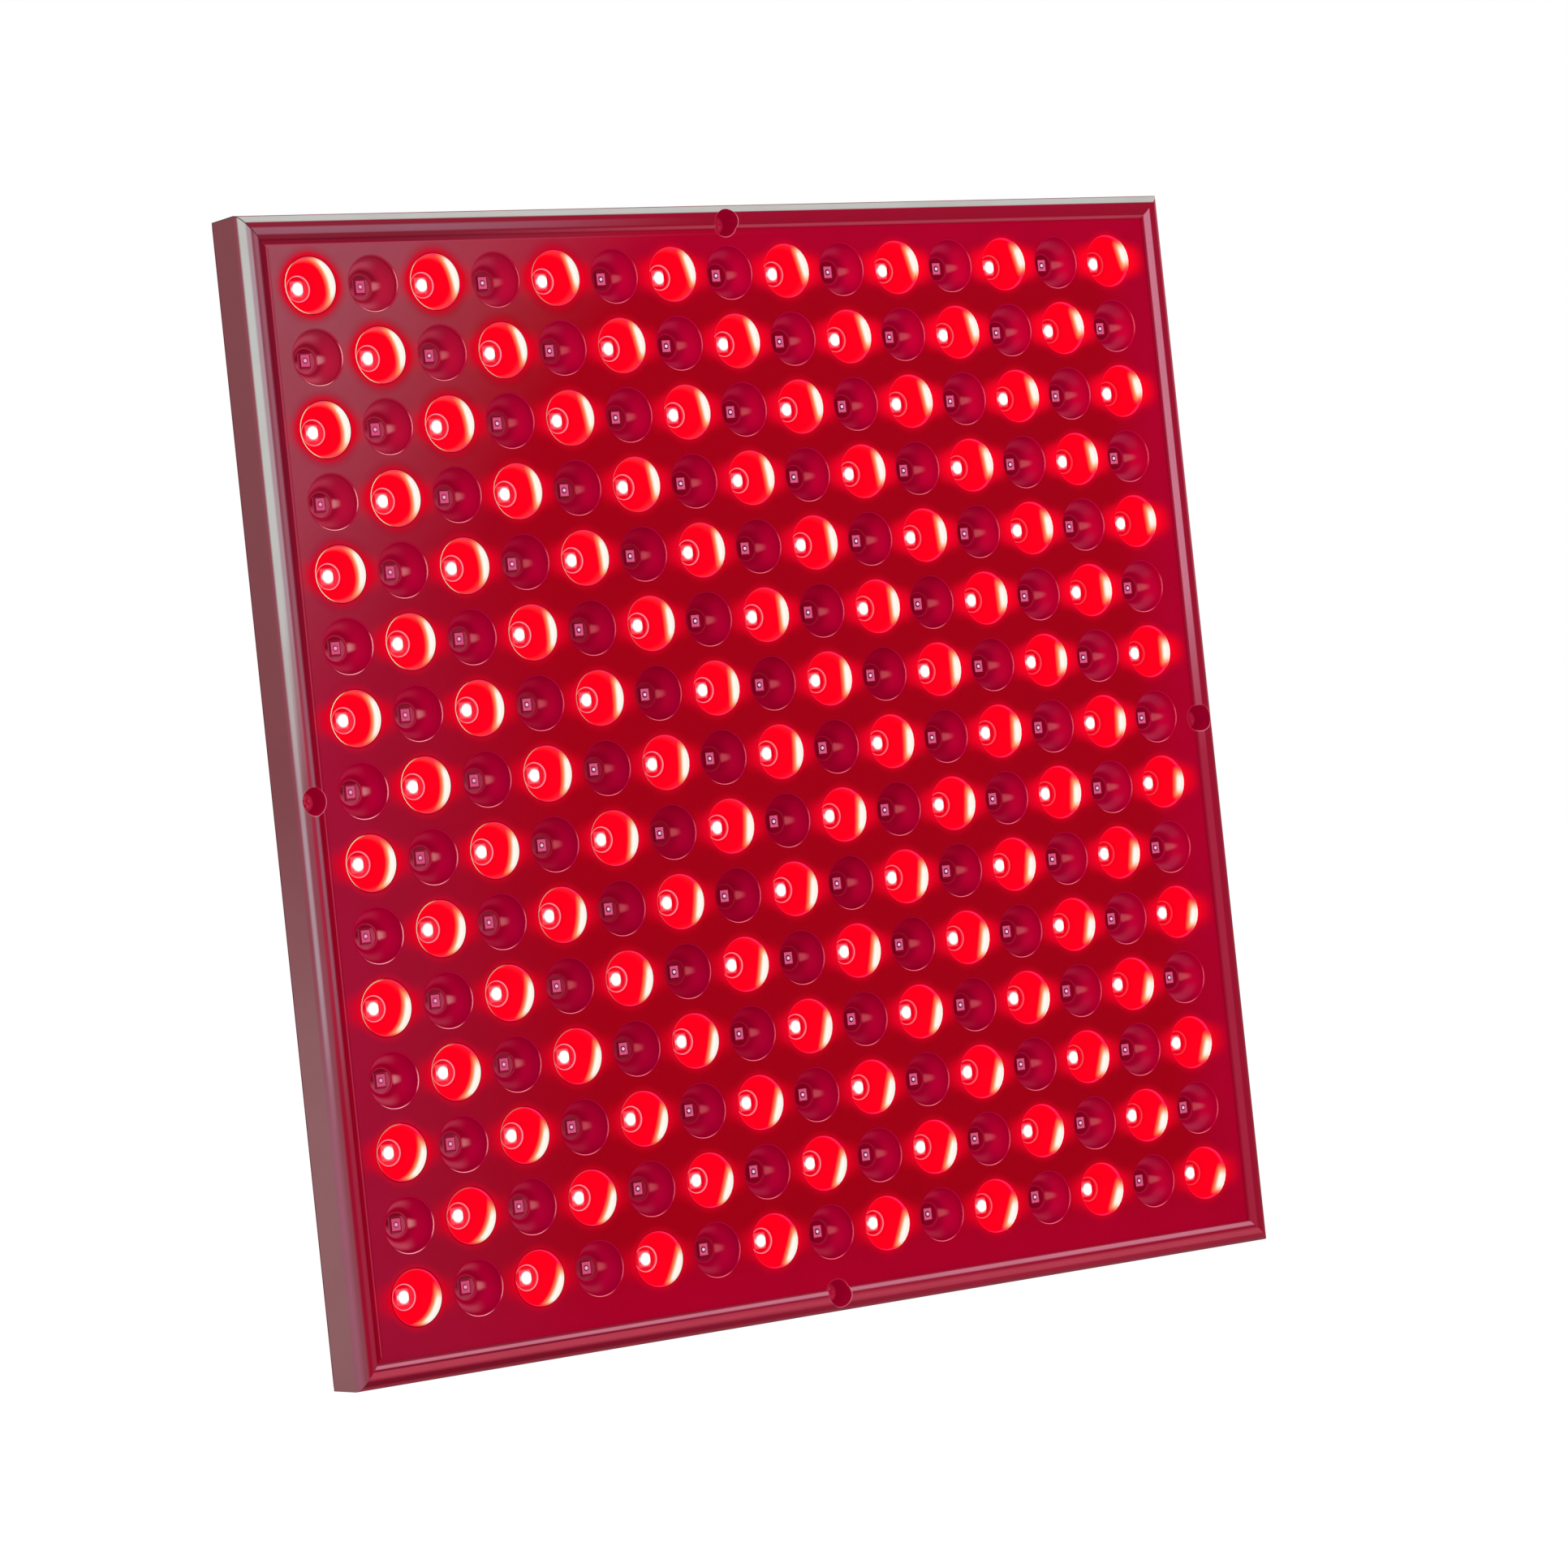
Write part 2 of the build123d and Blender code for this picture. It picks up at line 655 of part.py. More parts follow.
# Mains leads: inlet to board, inlet to switch, switch to board
inlet_rear_x = box_end_x + inlet_body_depth
switch_rear_x = box_end_x + switch_body_depth
landing_x = supply_left_x + lead_landing
neutral_z = middle_z - inlet_drop - inlet_pin_spacing / 2
live_z = middle_z - inlet_drop + inlet_pin_spacing / 2
switched_z = middle_z + switch_lift + inlet_pin_spacing / 2
feed_z = middle_z + switch_lift - inlet_pin_spacing / 2
turn_x = inlet_rear_x + lead_landing
mains_leads = Part(
    children=[
        make_lead(
            (inlet_rear_x, box_middle_y, neutral_z),
            (landing_x, box_middle_y, neutral_z),
            (landing_x, supply_top_y, neutral_z),
        ),
        make_lead(
            (inlet_rear_x, box_middle_y, live_z),
            (turn_x, box_middle_y, live_z),
            (turn_x, box_middle_y, feed_z),
            (switch_rear_x, box_middle_y, feed_z),
        ),
        make_lead(
            (switch_rear_x, box_middle_y, switched_z),
            (landing_x, box_middle_y, switched_z),
            (landing_x, supply_top_y, switched_z),
        ),
    ]
)
mains_leads.label = "mains_leads"
export_step(mains_leads, "parts/mains_leads.step")

# Flat twin lead to the lamps: from the board's edge, through the bush in the rear cover, to the connector
supply_middle_y = supply_low_y + supply_thickness / 2
led_leads = make_lead(
    (supply_edge_x, supply_middle_y, middle_z),
    (grommet_place, supply_middle_y, middle_z),
    (grommet_place, board_rear_y + connector_height, middle_z),
    width=twin_width,
    thickness=twin_thickness,
    bend=twin_bend,
)
led_leads.label = "led_leads"
export_step(led_leads, "parts/led_leads.step")

# Rubber bush: a neck in the cover's slot between two lips
with BuildPart() as lead_grommet:
    with BuildSketch(facing_back(cover_front_y - grommet_lip_thickness)):
        with Locations((-grommet_place, 0)):
            Rectangle(grommet_neck_length, grommet_neck_width)
    extrude(amount=cover_thickness + 2 * grommet_lip_thickness)
    for lip_y in (cover_front_y - grommet_lip_thickness, cover_rear_y):
        with BuildSketch(facing_back(lip_y)):
            with Locations((-grommet_place, 0)):
                Rectangle(grommet_neck_length + 2 * grommet_lip, grommet_neck_width + 2 * grommet_lip)
        extrude(amount=grommet_lip_thickness)
    with BuildSketch(facing_back(cover_front_y - grommet_lip_thickness)):
        with Locations((-grommet_place, 0)):
            Rectangle(twin_thickness + 2 * grommet_play, twin_width + 2 * grommet_play)
    extrude(amount=cover_thickness + 2 * grommet_lip_thickness, mode=Mode.SUBTRACT)
save(lead_grommet, "lead_grommet")
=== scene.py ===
from functools import partial
from math import asin, cos, pi, radians, sin, tan

import bmesh
import bpy
from mathutils import Matrix, Vector


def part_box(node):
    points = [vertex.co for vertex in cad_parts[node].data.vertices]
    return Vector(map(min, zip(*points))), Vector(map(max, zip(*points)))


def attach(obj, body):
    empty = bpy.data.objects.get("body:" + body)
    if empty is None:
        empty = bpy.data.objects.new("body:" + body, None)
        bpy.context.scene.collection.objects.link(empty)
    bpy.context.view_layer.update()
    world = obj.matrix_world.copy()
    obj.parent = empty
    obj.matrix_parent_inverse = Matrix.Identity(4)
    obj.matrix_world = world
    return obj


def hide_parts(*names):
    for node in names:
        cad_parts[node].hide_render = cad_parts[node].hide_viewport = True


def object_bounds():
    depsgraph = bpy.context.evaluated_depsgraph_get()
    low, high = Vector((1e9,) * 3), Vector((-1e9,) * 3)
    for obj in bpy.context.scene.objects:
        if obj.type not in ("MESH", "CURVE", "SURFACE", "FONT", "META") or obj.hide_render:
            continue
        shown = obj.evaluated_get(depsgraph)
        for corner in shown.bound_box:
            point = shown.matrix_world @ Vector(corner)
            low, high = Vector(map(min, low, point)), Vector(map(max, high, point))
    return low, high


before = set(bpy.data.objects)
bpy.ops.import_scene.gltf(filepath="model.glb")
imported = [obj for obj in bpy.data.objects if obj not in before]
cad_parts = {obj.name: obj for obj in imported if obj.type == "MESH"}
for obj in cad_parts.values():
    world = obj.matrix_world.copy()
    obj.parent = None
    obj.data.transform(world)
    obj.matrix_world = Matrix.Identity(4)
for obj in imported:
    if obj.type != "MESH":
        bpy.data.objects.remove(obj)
cad_box = [list(corner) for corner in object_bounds()]

# A red light therapy panel. The scene is in metres, and its materials reckon in millimetres
mm = 0.001

# Grid of cups
pitch = 19.2 * mm
cups_across = 15
cup_sides = 32
mouth_radius = 7.4 * mm
lip_round = 0.35 * mm
lip_steps = 3
throat_radius = 3.3 * mm
throat_length = 0.7 * mm
wall_steps = 6
wall_bow = 1.7

# Frame profile
frame_wall = 1.2 * mm
flange_thickness = 1.2 * mm
flange_width = 8 * mm
rim_width = 6.4 * mm
rim_round = 2.5 * mm
rim_crown = 1.1 * mm
rim_lip = 0.4 * mm
rim_edge = 0.15 * mm
edge_hold = 0.2 * mm
rim_steps = 10
crown_steps = 8

# Pockets and screws
pocket_radius = 3.7 * mm
pocket_inset = 5.1 * mm
pocket_floor = 1.8 * mm
pocket_sides = 48
border_play = 0.05 * mm
overrun = 2 * mm
weld = 0.002 * mm
sliver = 0.01 * mm

# Where the CAD's pieces are
outer_low, outer_high = Vector(cad_box[0]), Vector(cad_box[1])
bar_low, bar_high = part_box("frame_left")
reflector_low, reflector_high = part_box("reflector_panel")
red_low, red_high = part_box("red_leds")
board_low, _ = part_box("led_board")
cover_low, cover_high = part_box("rear_cover")
half_width = outer_high.x
middle_z = (outer_low.z + outer_high.z) / 2
front_y = bar_low.y
face_y = reflector_low.y
floor_y = reflector_high.y
grid_z = (red_low.z + red_high.z) / 2
grid_half = pitch * cups_across / 2


# Colours and node materials


def paint(red, green, blue):
    """An sRGB colour, 0 to 255, as Blender's linear one."""
    shares = [c / 255 for c in (red, green, blue)]
    linear = [s / 12.92 if s <= 0.04045 else ((s + 0.055) / 1.055) ** 2.4 for s in shares]
    return (*linear, 1)


def adjust(thing, **settings):
    """Sets properties by their names."""
    for name, value in settings.items():
        setattr(thing, name, value)


def add_node(tree, kind, inputs, **settings):
    """A node whose inputs, by name or place, are fields, sockets, sRGB tuples or plain values."""
    node = tree.nodes.new(kind)
    adjust(node, **settings)
    for place, value in inputs.items():
        plug(tree, value, node.inputs[place])
    return node


def plug(tree, value, socket):
    """Links or writes a value into an input."""
    if isinstance(value, Field):
        value = value.socket
    if isinstance(value, bpy.types.NodeSocket):
        tree.links.new(value, socket)
    else:
        socket.default_value = paint(*value) if isinstance(value, tuple) else value


def worked(operation, swapped=False):
    """A method of Field that works an operation on it and another value."""

    def method(self, other=0):
        return self.work(operation, *((other, self) if swapped else (self, other)))

    return method


class Field:
    """A number that varies over a surface, worked out by nodes."""

    def __init__(self, tree, socket):
        self.tree = tree
        self.socket = socket

    def work(self, operation, *values):
        node = add_node(self.tree, "ShaderNodeMath", dict(enumerate(values)), operation=operation)
        return Field(self.tree, node.outputs[0])

    __add__, __radd__ = worked("ADD"), worked("ADD", True)
    __sub__, __rsub__ = worked("SUBTRACT"), worked("SUBTRACT", True)
    __mul__, __rmul__ = worked("MULTIPLY"), worked("MULTIPLY", True)
    __truediv__, __abs__ = worked("DIVIDE"), worked("ABSOLUTE")
    largest, least = worked("MAXIMUM"), worked("MINIMUM")
    sign, root = worked("SIGN"), worked("SQRT")

    def rounded(self):
        return self.work("FLOOR", self + 0.5)

    def ramp(self, low, high):
        """0 at low and 1 at high, with a smooth step between them."""
        limits = {"Value": self, "From Min": low, "From Max": high}
        node = add_node(self.tree, "ShaderNodeMapRange", limits, interpolation_type="SMOOTHSTEP")
        return Field(self.tree, node.outputs["Result"])

    def hump(self, low, high, soft):
        """1 between low and high, and 0 outside them."""
        return self.ramp(low - soft, low + soft) * self.ramp(high + soft, high - soft)


class Finish:
    """One node material around a Principled shader."""

    def __init__(self, name):
        self.material = bpy.data.materials.new(name)
        self.material.use_nodes = True
        self.tree = self.material.node_tree
        self.shader = self.tree.nodes["Principled BSDF"]
        self.points = self.tree.nodes.new("ShaderNodeTexCoord").outputs["Object"]

    def set(self, **sockets):
        for name, value in sockets.items():
            plug(self.tree, value, self.shader.inputs[name.replace("_", " ")])

    def place(self):
        """x, y and z in millimetres."""
        node = add_node(self.tree, "ShaderNodeSeparateXYZ", {0: self.points})
        return [Field(self.tree, output) * (1 / mm) for output in node.outputs]

    def noise(self, scale, detail=2, stretch=None):
        """Noise from 0 to 1, with scale its waves to a metre."""
        points = self.points
        if stretch:
            points = add_node(self.tree, "ShaderNodeMapping", {"Vector": points, "Scale": stretch}).outputs[0]
        inputs = {"Vector": points, "Scale": scale, "Detail": detail}
        return Field(self.tree, add_node(self.tree, "ShaderNodeTexNoise", inputs).outputs["Fac"])

    def mix(self, share, first, second):
        """From colour first at share 0 to colour second at share 1."""
        inputs = {0: share, 6: first, 7: second}
        return add_node(self.tree, "ShaderNodeMix", inputs, data_type="RGBA").outputs[2]

    def lay(self, share, *tone):
        """Lays a tone, or the colour of a socket, over the finish's colour."""
        self.colour = self.mix(share, self.colour, tone if len(tone) == 3 else tone[0])

    def coat(self, roughness, specular, base, glow, strength):
        """The material, with its colour and its glow."""
        self.set(Base_Color=base, Roughness=roughness, Specular_IOR_Level=specular)
        self.set(Emission_Color=glow, Emission_Strength=strength)
        return self.material

    def bump(self, height, distance, strength):
        inputs = {"Strength": strength, "Distance": distance, "Height": height}
        self.set(Normal=add_node(self.tree, "ShaderNodeBump", inputs).outputs[0])


pitch_mm = pitch / mm
grid_mm = grid_z / mm
middle_mm = middle_z / mm
half_mm = half_width / mm
front_mm = front_y / mm
rear_mm = bar_high.y / mm
mouth_mm = mouth_radius / mm
pocket_mm = pocket_radius / mm
throat_mm = throat_radius / mm
last_cup = cups_across // 2
# Painted shade in the screw pockets, lifted by a painted red glow of this strength
pocket_shade, pocket_painted_glow, pocket_strength = (90, 0, 24), (160, 0, 42), 0.62


def own_cup(finish):
    """How far right and up a point lies from the middle of its own cup, in mm, and how far from it."""
    x, _, z = finish.place()
    up = z - grid_mm
    across = x - (x / pitch_mm).rounded() * pitch_mm
    up = up - (up / pitch_mm).rounded() * pitch_mm
    return across, up, (across * across + up * up).root()


def nearest_lit(finish):
    """How far right and up a point lies from the nearest lit cup and how far off, in mm, and 1 if there is one."""
    x, _, z = finish.place()
    u, v = x / pitch_mm, (z - grid_mm) / pitch_mm
    a, b = (u + v) * 0.5, (u - v) * 0.5
    whole_a, whole_b = a.rounded(), b.rounded()
    across = (a - whole_a + b - whole_b) * pitch_mm
    up = (a - whole_a - b + whole_b) * pitch_mm
    column, row = abs(whole_a + whole_b), abs(whole_a - whole_b)
    inside = column.largest(row).ramp(last_cup + 0.6, last_cup + 0.4)
    return across, up, (across * across + up * up).root(), inside


def nearest_pocket(finish):
    """How far a point lies from the nearest screw pocket's middle, in mm, and 1 in it, on the ring round it where a
    highlight is painted, and to its lower right, where that highlight is brightest.
    """
    x, _, z = finish.place()
    up = z - middle_mm
    reach = half_mm - pocket_inset / mm
    beside, above = x - x.sign() * reach, up - up.sign() * reach
    first = beside * beside + up * up
    second = x * x + above * above
    at_side = (second - first).sign().largest(0)
    across = at_side * beside + (1 - at_side) * x
    rise = at_side * up + (1 - at_side) * above
    away = first.least(second).root()
    ring = away.hump(pocket_mm + 0.16, pocket_mm + 0.36, 0.08)
    return away, away.ramp(pocket_mm + 0.14, pocket_mm + 0.04), ring, (across * 0.8 - rise * 0.6).ramp(-0.5, 3)


def shares(finish):
    """How far right and how far up a point lies on the panel, 0 to 1."""
    x, _, z = finish.place()
    return (x + half_mm) / (2 * half_mm), z / (2 * middle_mm)


def painted_sheen(finish):
    """1 at the panel's upper left, where a greyer painted sheen lies, falling to 0 to the right and down."""
    right, high = shares(finish)
    return (right * 2.2 + (1 - high) * 2).ramp(1.05, 0.1)


def make_face():
    finish = Finish("reflector_face")
    lay, mix = finish.lay, finish.mix
    x, _, z = finish.place()
    right, high = shares(finish)
    _, _, radius = own_cup(finish)
    _, above_lit, distance, inside = nearest_lit(finish)
    outward = half_mm - abs(x).largest(abs(z - middle_mm))
    sheen = painted_sheen(finish)
    mottle = finish.noise(60, 3)
    finish.colour = mix(outward.ramp(30, 8), (166, 0, 22), (178, 0, 44))
    # Painted sheen: the face is painted pinker to the left and greyer at the upper left, less so near lit cups,
    # standing in for a reflection of the studio
    lay(right.ramp(0.3, 0.02) * 0.7, 156, 22, 56)
    near = distance.ramp(mouth_mm + 4.2, mouth_mm) * inside
    lay(sheen * (1 - near * 0.9), 160, 80, 94)
    lay(mottle.ramp(0.35, 0.75) * 0.12, 138, 0, 22)
    on_grid = abs(x).largest(abs(z - grid_mm)).ramp(grid_half / mm + 0.1, grid_half / mm - 0.1)
    lit = inside * distance.ramp(8.9, 8.6)
    # Painted shade: a thin dark line round each cup's mouth, darker round lit cups to the left
    outline = radius.hump(mouth_mm + 0.3, mouth_mm + 0.46, 0.1) * on_grid
    outline = outline * (lit * (1 - right).ramp(0.4, 1) * 0.8 + 0.2)
    # Painted glow: the lit cups' red light painted on the face round each cup and along its row
    row_light = abs(above_lit).ramp(7, 1) * distance.ramp(15, 8.6) * inside
    row_light = row_light * (1 - sheen * 0.85) + near * near * sheen * 0.6
    row_light = row_light * (high * 0.14 + right.ramp(0.3, 0.85) * (high * 0.18 + 0.1) + 0.15)
    near_light = distance.ramp(mouth_mm + 3.4, mouth_mm) * inside
    light = row_light + near_light * near_light * 0.14
    lay(light.ramp(0, 0.3), 186, 0, 34)
    lay(outline, 92, 0, 10)
    # Painted shade and highlight where the face meets the bars: a dark band with thin light and dark lines along
    # the left and top left, and a thin light line along the top right
    left = (x * -1 - abs(z - middle_mm)).ramp(-0.05, 0.05)
    top = (z - middle_mm - abs(x)).ramp(-0.05, 0.05)
    upper = high.ramp(0.4, 0.8)
    foot_reach = outward - upper * 0.35
    shade = mix(upper, (150, 0, 32), (122, 16, 40))
    lay(left * foot_reach.ramp(8.1, 7.8), shade)
    lay(left * foot_reach.hump(7.9, 8.2, 0.12), 184, 52, 80)
    lay(left * foot_reach.hump(8.4, 8.65, 0.15) * 0.6, 124, 4, 30)
    top_left = top * right.ramp(0.6, 0.1)
    lay(top_left * outward.ramp(8.1, 7.8), 132, 20, 46)
    lay(top_left * outward.hump(7.95, 8.2, 0.12) * 0.8, 190, 62, 88)
    top_right = top * (1 - top_left)
    lay(top_right * outward.hump(6.45, 6.65, 0.08) * 0.7, 204, 66, 90)
    _, pocket, ring, lower_right = nearest_pocket(finish)
    # Painted shade in the pocket with a painted red glow, and a painted highlight on its rim, brightest to the
    # lower right
    lay(pocket, *pocket_shade)
    lay(ring * (lower_right * 0.7 + 0.1), 232, 120, 138)
    finish.bump(finish.noise(900), 0.02 * mm, 0.35)
    # The face glows with the painted light round the lit cups and in the pockets
    glow = mix(pocket, (255, 0, 8), pocket_painted_glow)
    strength = light * (1 - outline) * (1 - pocket) + pocket * pocket_strength
    return finish.coat(0.55, 0.015, finish.colour, glow, strength)


def make_lit_cup():
    finish = Finish("lit_cup")
    lay, mix = finish.lay, finish.mix
    _, y, _ = finish.place()
    right, high = shares(finish)
    across, up, radius = own_cup(finish)
    depth = y - face_y / mm
    leftmost = right.ramp(0.42, 0)
    # Painted reflections of the lamp in the far wall: an orange and a cream crescent, placed by where the cup lies
    # on the panel
    tilt = (high - 0.6).largest(0) * 0.8 - (0.6 - high).largest(0) * (leftmost * 0.65 + 0.85)
    reach = (tilt * tilt + 1).root()
    along = (across + up * tilt) / reach
    beside = (up - across * tilt) / reach
    beside = abs(beside) - leftmost * high * 1.8 + right.ramp(0.5, 1) * 1.6
    curl = leftmost * 0.6
    cut = along * (1 - curl) + radius * curl - depth * 0.7
    window = (along / radius).ramp(0, 0.5)
    orange = cut.ramp(3.6, 5) * beside.ramp(6.6, 4.4) * window
    cream = cut.ramp(4.6, 5.9) * beside.ramp(5.6, 2.6) * window
    cream = cream * (1 - leftmost * (up * -1).ramp(1, 5) * high * 0.4)
    # A painted salmon ring of the lamp's light in the upper cups
    ring = depth.ramp(3.4, 1.4) * high.ramp(0.15, 0.9)
    ring = ring * leftmost.largest(right.ramp(0.8, 0) * 0.4)
    # The whole wall is painted glow: red from its lamp, a little darker deep down
    finish.colour = mix(radius.ramp(5.2, 3.6) * 0.6, (255, 0, 28), (240, 0, 26))
    lay(ring * 0.85, 255, 96, 86)
    lay(orange * 0.8, 255, 150, 92)
    lay(cream, 255, 252, 226)
    lay(cream * cream * cream * 0.8, 255, 255, 248)
    # A painted cream reflection on the left wall of the left cups
    gleam = (along * -1).ramp(3.6, 6.4) * radius.ramp(5.4, 6.8) * leftmost * high.ramp(0.05, 0.7)
    lay(gleam, 255, 238, 190)
    # Painted highlight lines round the throat and the mouth, a darker red inside the throat, and painted shade just
    # outside the mouth
    throat_line = radius.hump(throat_mm + 0.03, throat_mm + 0.26, 0.06)
    lay(throat_line * (1 - right.ramp(0.3, 0.95) * 0.85), 255, 150, 170)
    lay(radius.ramp(throat_mm, throat_mm - 0.1), 208, 0, 22)
    lip_line = radius.hump(mouth_mm - 0.1, mouth_mm + 0.12, 0.08)
    lay(lip_line * (0.9 - cream.largest(orange) * 0.8), 255, 44, 104)
    shade = radius.ramp(mouth_mm + 0.16, mouth_mm + 0.26)
    lay(shade * (1 - right).ramp(0.2, 1), 120, 0, 12)
    # A painted reflection of the lamp on the left lip
    lit_lip = (along * -1).ramp(2, 5.6) * radius.ramp(mouth_mm - 0.5, mouth_mm - 0.1) * leftmost
    lay(lit_lip * high.ramp(0.05, 0.6), 255, 236, 188)
    return finish.coat(0.5, 0.01, (60, 0, 6), finish.colour, 0.97)


def make_dark_cup():
    finish = Finish("dark_cup")
    lay, mix = finish.lay, finish.mix
    _, y, _ = finish.place()
    right, high = shares(finish)
    across, up, radius = own_cup(finish)
    depth = y - face_y / mm
    sheen = painted_sheen(finish)
    leftmost = right.ramp(0.3, 0)
    edges = abs(right - 0.5).largest(abs(high - 0.5)).ramp(0.1, 0.48)
    wall = mix(edges, (140, 0, 34), (160, 0, 48))
    # Painted shade on the lower wall, and painted light on the far wall to the right
    wall = mix((up * -1).ramp(0, 6) * 0.5, wall, (118, 0, 30))
    upper_right = right.ramp(0.3, 0.9) * 0.6 + high.ramp(0.4, 1) * 0.5
    far = mix(upper_right, (150, 0, 44), (186, 0, 46))
    finish.colour = mix(across.ramp(2, 6.6) * 0.8, wall, far)
    # Painted sheen, greyer at the upper left
    lay(sheen * (1 - across.ramp(1, 5) * 0.4) * 0.85, 142, 40, 60)
    # Painted reflections: lighter petals round the wall, and on the right in the right columns
    petals = radius.ramp(4.2, 5.4) * radius.ramp(7, 5.8) * (1 - across.ramp(0, 4))
    petals = petals * sheen.largest(leftmost * high.ramp(0.5, 0.1)).largest(edges * 0.25)
    lay(petals * 0.55, 184, 84, 104)
    far_petals = radius.ramp(4.6, 5.6) * radius.ramp(7.2, 6.2) * abs(up).ramp(1.6, 4.2)
    lay(far_petals * right.ramp(0.7, 1) * 0.5, 152, 40, 68)
    # Painted shade: a darker ring round the throat and darker patches to the upper and lower right
    ring = radius.hump(throat_mm + 0.5, throat_mm + 1.1, 0.4) * (sheen * 0.5 + 0.2)
    lay(ring, 112, 0, 28)
    spot = (across * 0.5 + up * 0.85).ramp(1.8, 3.6) * radius.ramp(5.6, 4)
    low_spot = (across * 0.8 - up * 0.6).ramp(2.4, 4) * radius.ramp(5.6, 4.4)
    lay(spot.largest(low_spot * 0.7) * 0.4, 122, 0, 30)
    # A painted highlight: a pale wedge beside the throat on the right
    tip = right + 5.1
    wedge = across.ramp(3.3, 3.7) * (across - tip).ramp(0.2, -1.3)
    wedge = wedge * (abs(up) + across * 0.3).ramp(2.7, 1.7)
    warm = mix(leftmost, (184, 74, 86), (206, 136, 142))
    lay(wedge * 0.75, warm)
    # A painted highlight line round the throat, and painted shade inside it
    throat_line = radius.hump(throat_mm + 0.02, throat_mm + 0.14, 0.06)
    lay(throat_line * (0.2 + leftmost * 0.4), 196, 72, 100)
    dark_throat = mix(leftmost, (140, 0, 34), (150, 20, 48))
    lay(radius.ramp(throat_mm, throat_mm - 0.1), dark_throat)
    # Painted highlight along the lower and right rim, and painted shade lines at the rim's inner and outer edges
    rim = radius.hump(mouth_mm + 0.02, mouth_mm + 0.2, 0.05)
    under = (up * -1 - abs(across + 0.8) * 0.5).ramp(3.2, 6.4)
    beside = (across - abs(up - (high - 0.6) * 3) * 0.7).ramp(4, 6.6)
    line = mix(leftmost, (250, 110, 124), (255, 178, 184))
    lay(rim * 0.35, 200, 20, 66)
    lay(rim * under.largest(beside * (0.5 + leftmost * 0.4)) * 0.95, line)
    dark_line = radius.hump(mouth_mm - 0.16, mouth_mm - 0.05, 0.06)
    dark_line = dark_line.largest(radius.ramp(mouth_mm + 0.25, mouth_mm + 0.33))
    lay(dark_line * (0.15 + sheen * 0.4), 96, 0, 16)
    finish.bump(finish.noise(900), 0.02 * mm, 0.3)
    # The cup is given a painted glow, stronger deep down, standing in for light that reaches its depths
    return finish.coat(0.5, 0.015, finish.colour, finish.colour, depth.ramp(0.5, 5) * 0.25 + 0.3)


# Tones painted across the frame's rim as its sheen and shade, from its brightest painted reflection of the studio
# to its darkest shade
shine, mauve, blush = (192, 192, 188), (174, 146, 156), (204, 120, 142)
rose, dull, pink = (156, 92, 110), (144, 72, 84), (190, 64, 86)
ruby, wine, crimson, claret = (168, 34, 62), (138, 28, 50), (156, 2, 42), (130, 4, 38)


def bands(finish, inward, *stripes):
    """Stripes of painted highlight and shade inwards from the panel's outer edge: each a tone, and where it starts
    and ends in mm.
    """
    stops = [(place, tone) for tone, *places in stripes for place in places]
    reach = flange_width / mm
    node = add_node(finish.tree, "ShaderNodeValToRGB", {0: inward / reach})
    ramp = node.color_ramp
    for place, _ in stops[2:]:
        ramp.elements.new(place / reach)
    for element, (place, tone) in zip(ramp.elements, stops):
        element.position = place / reach
        element.color = paint(*tone)
    return node.outputs[0]


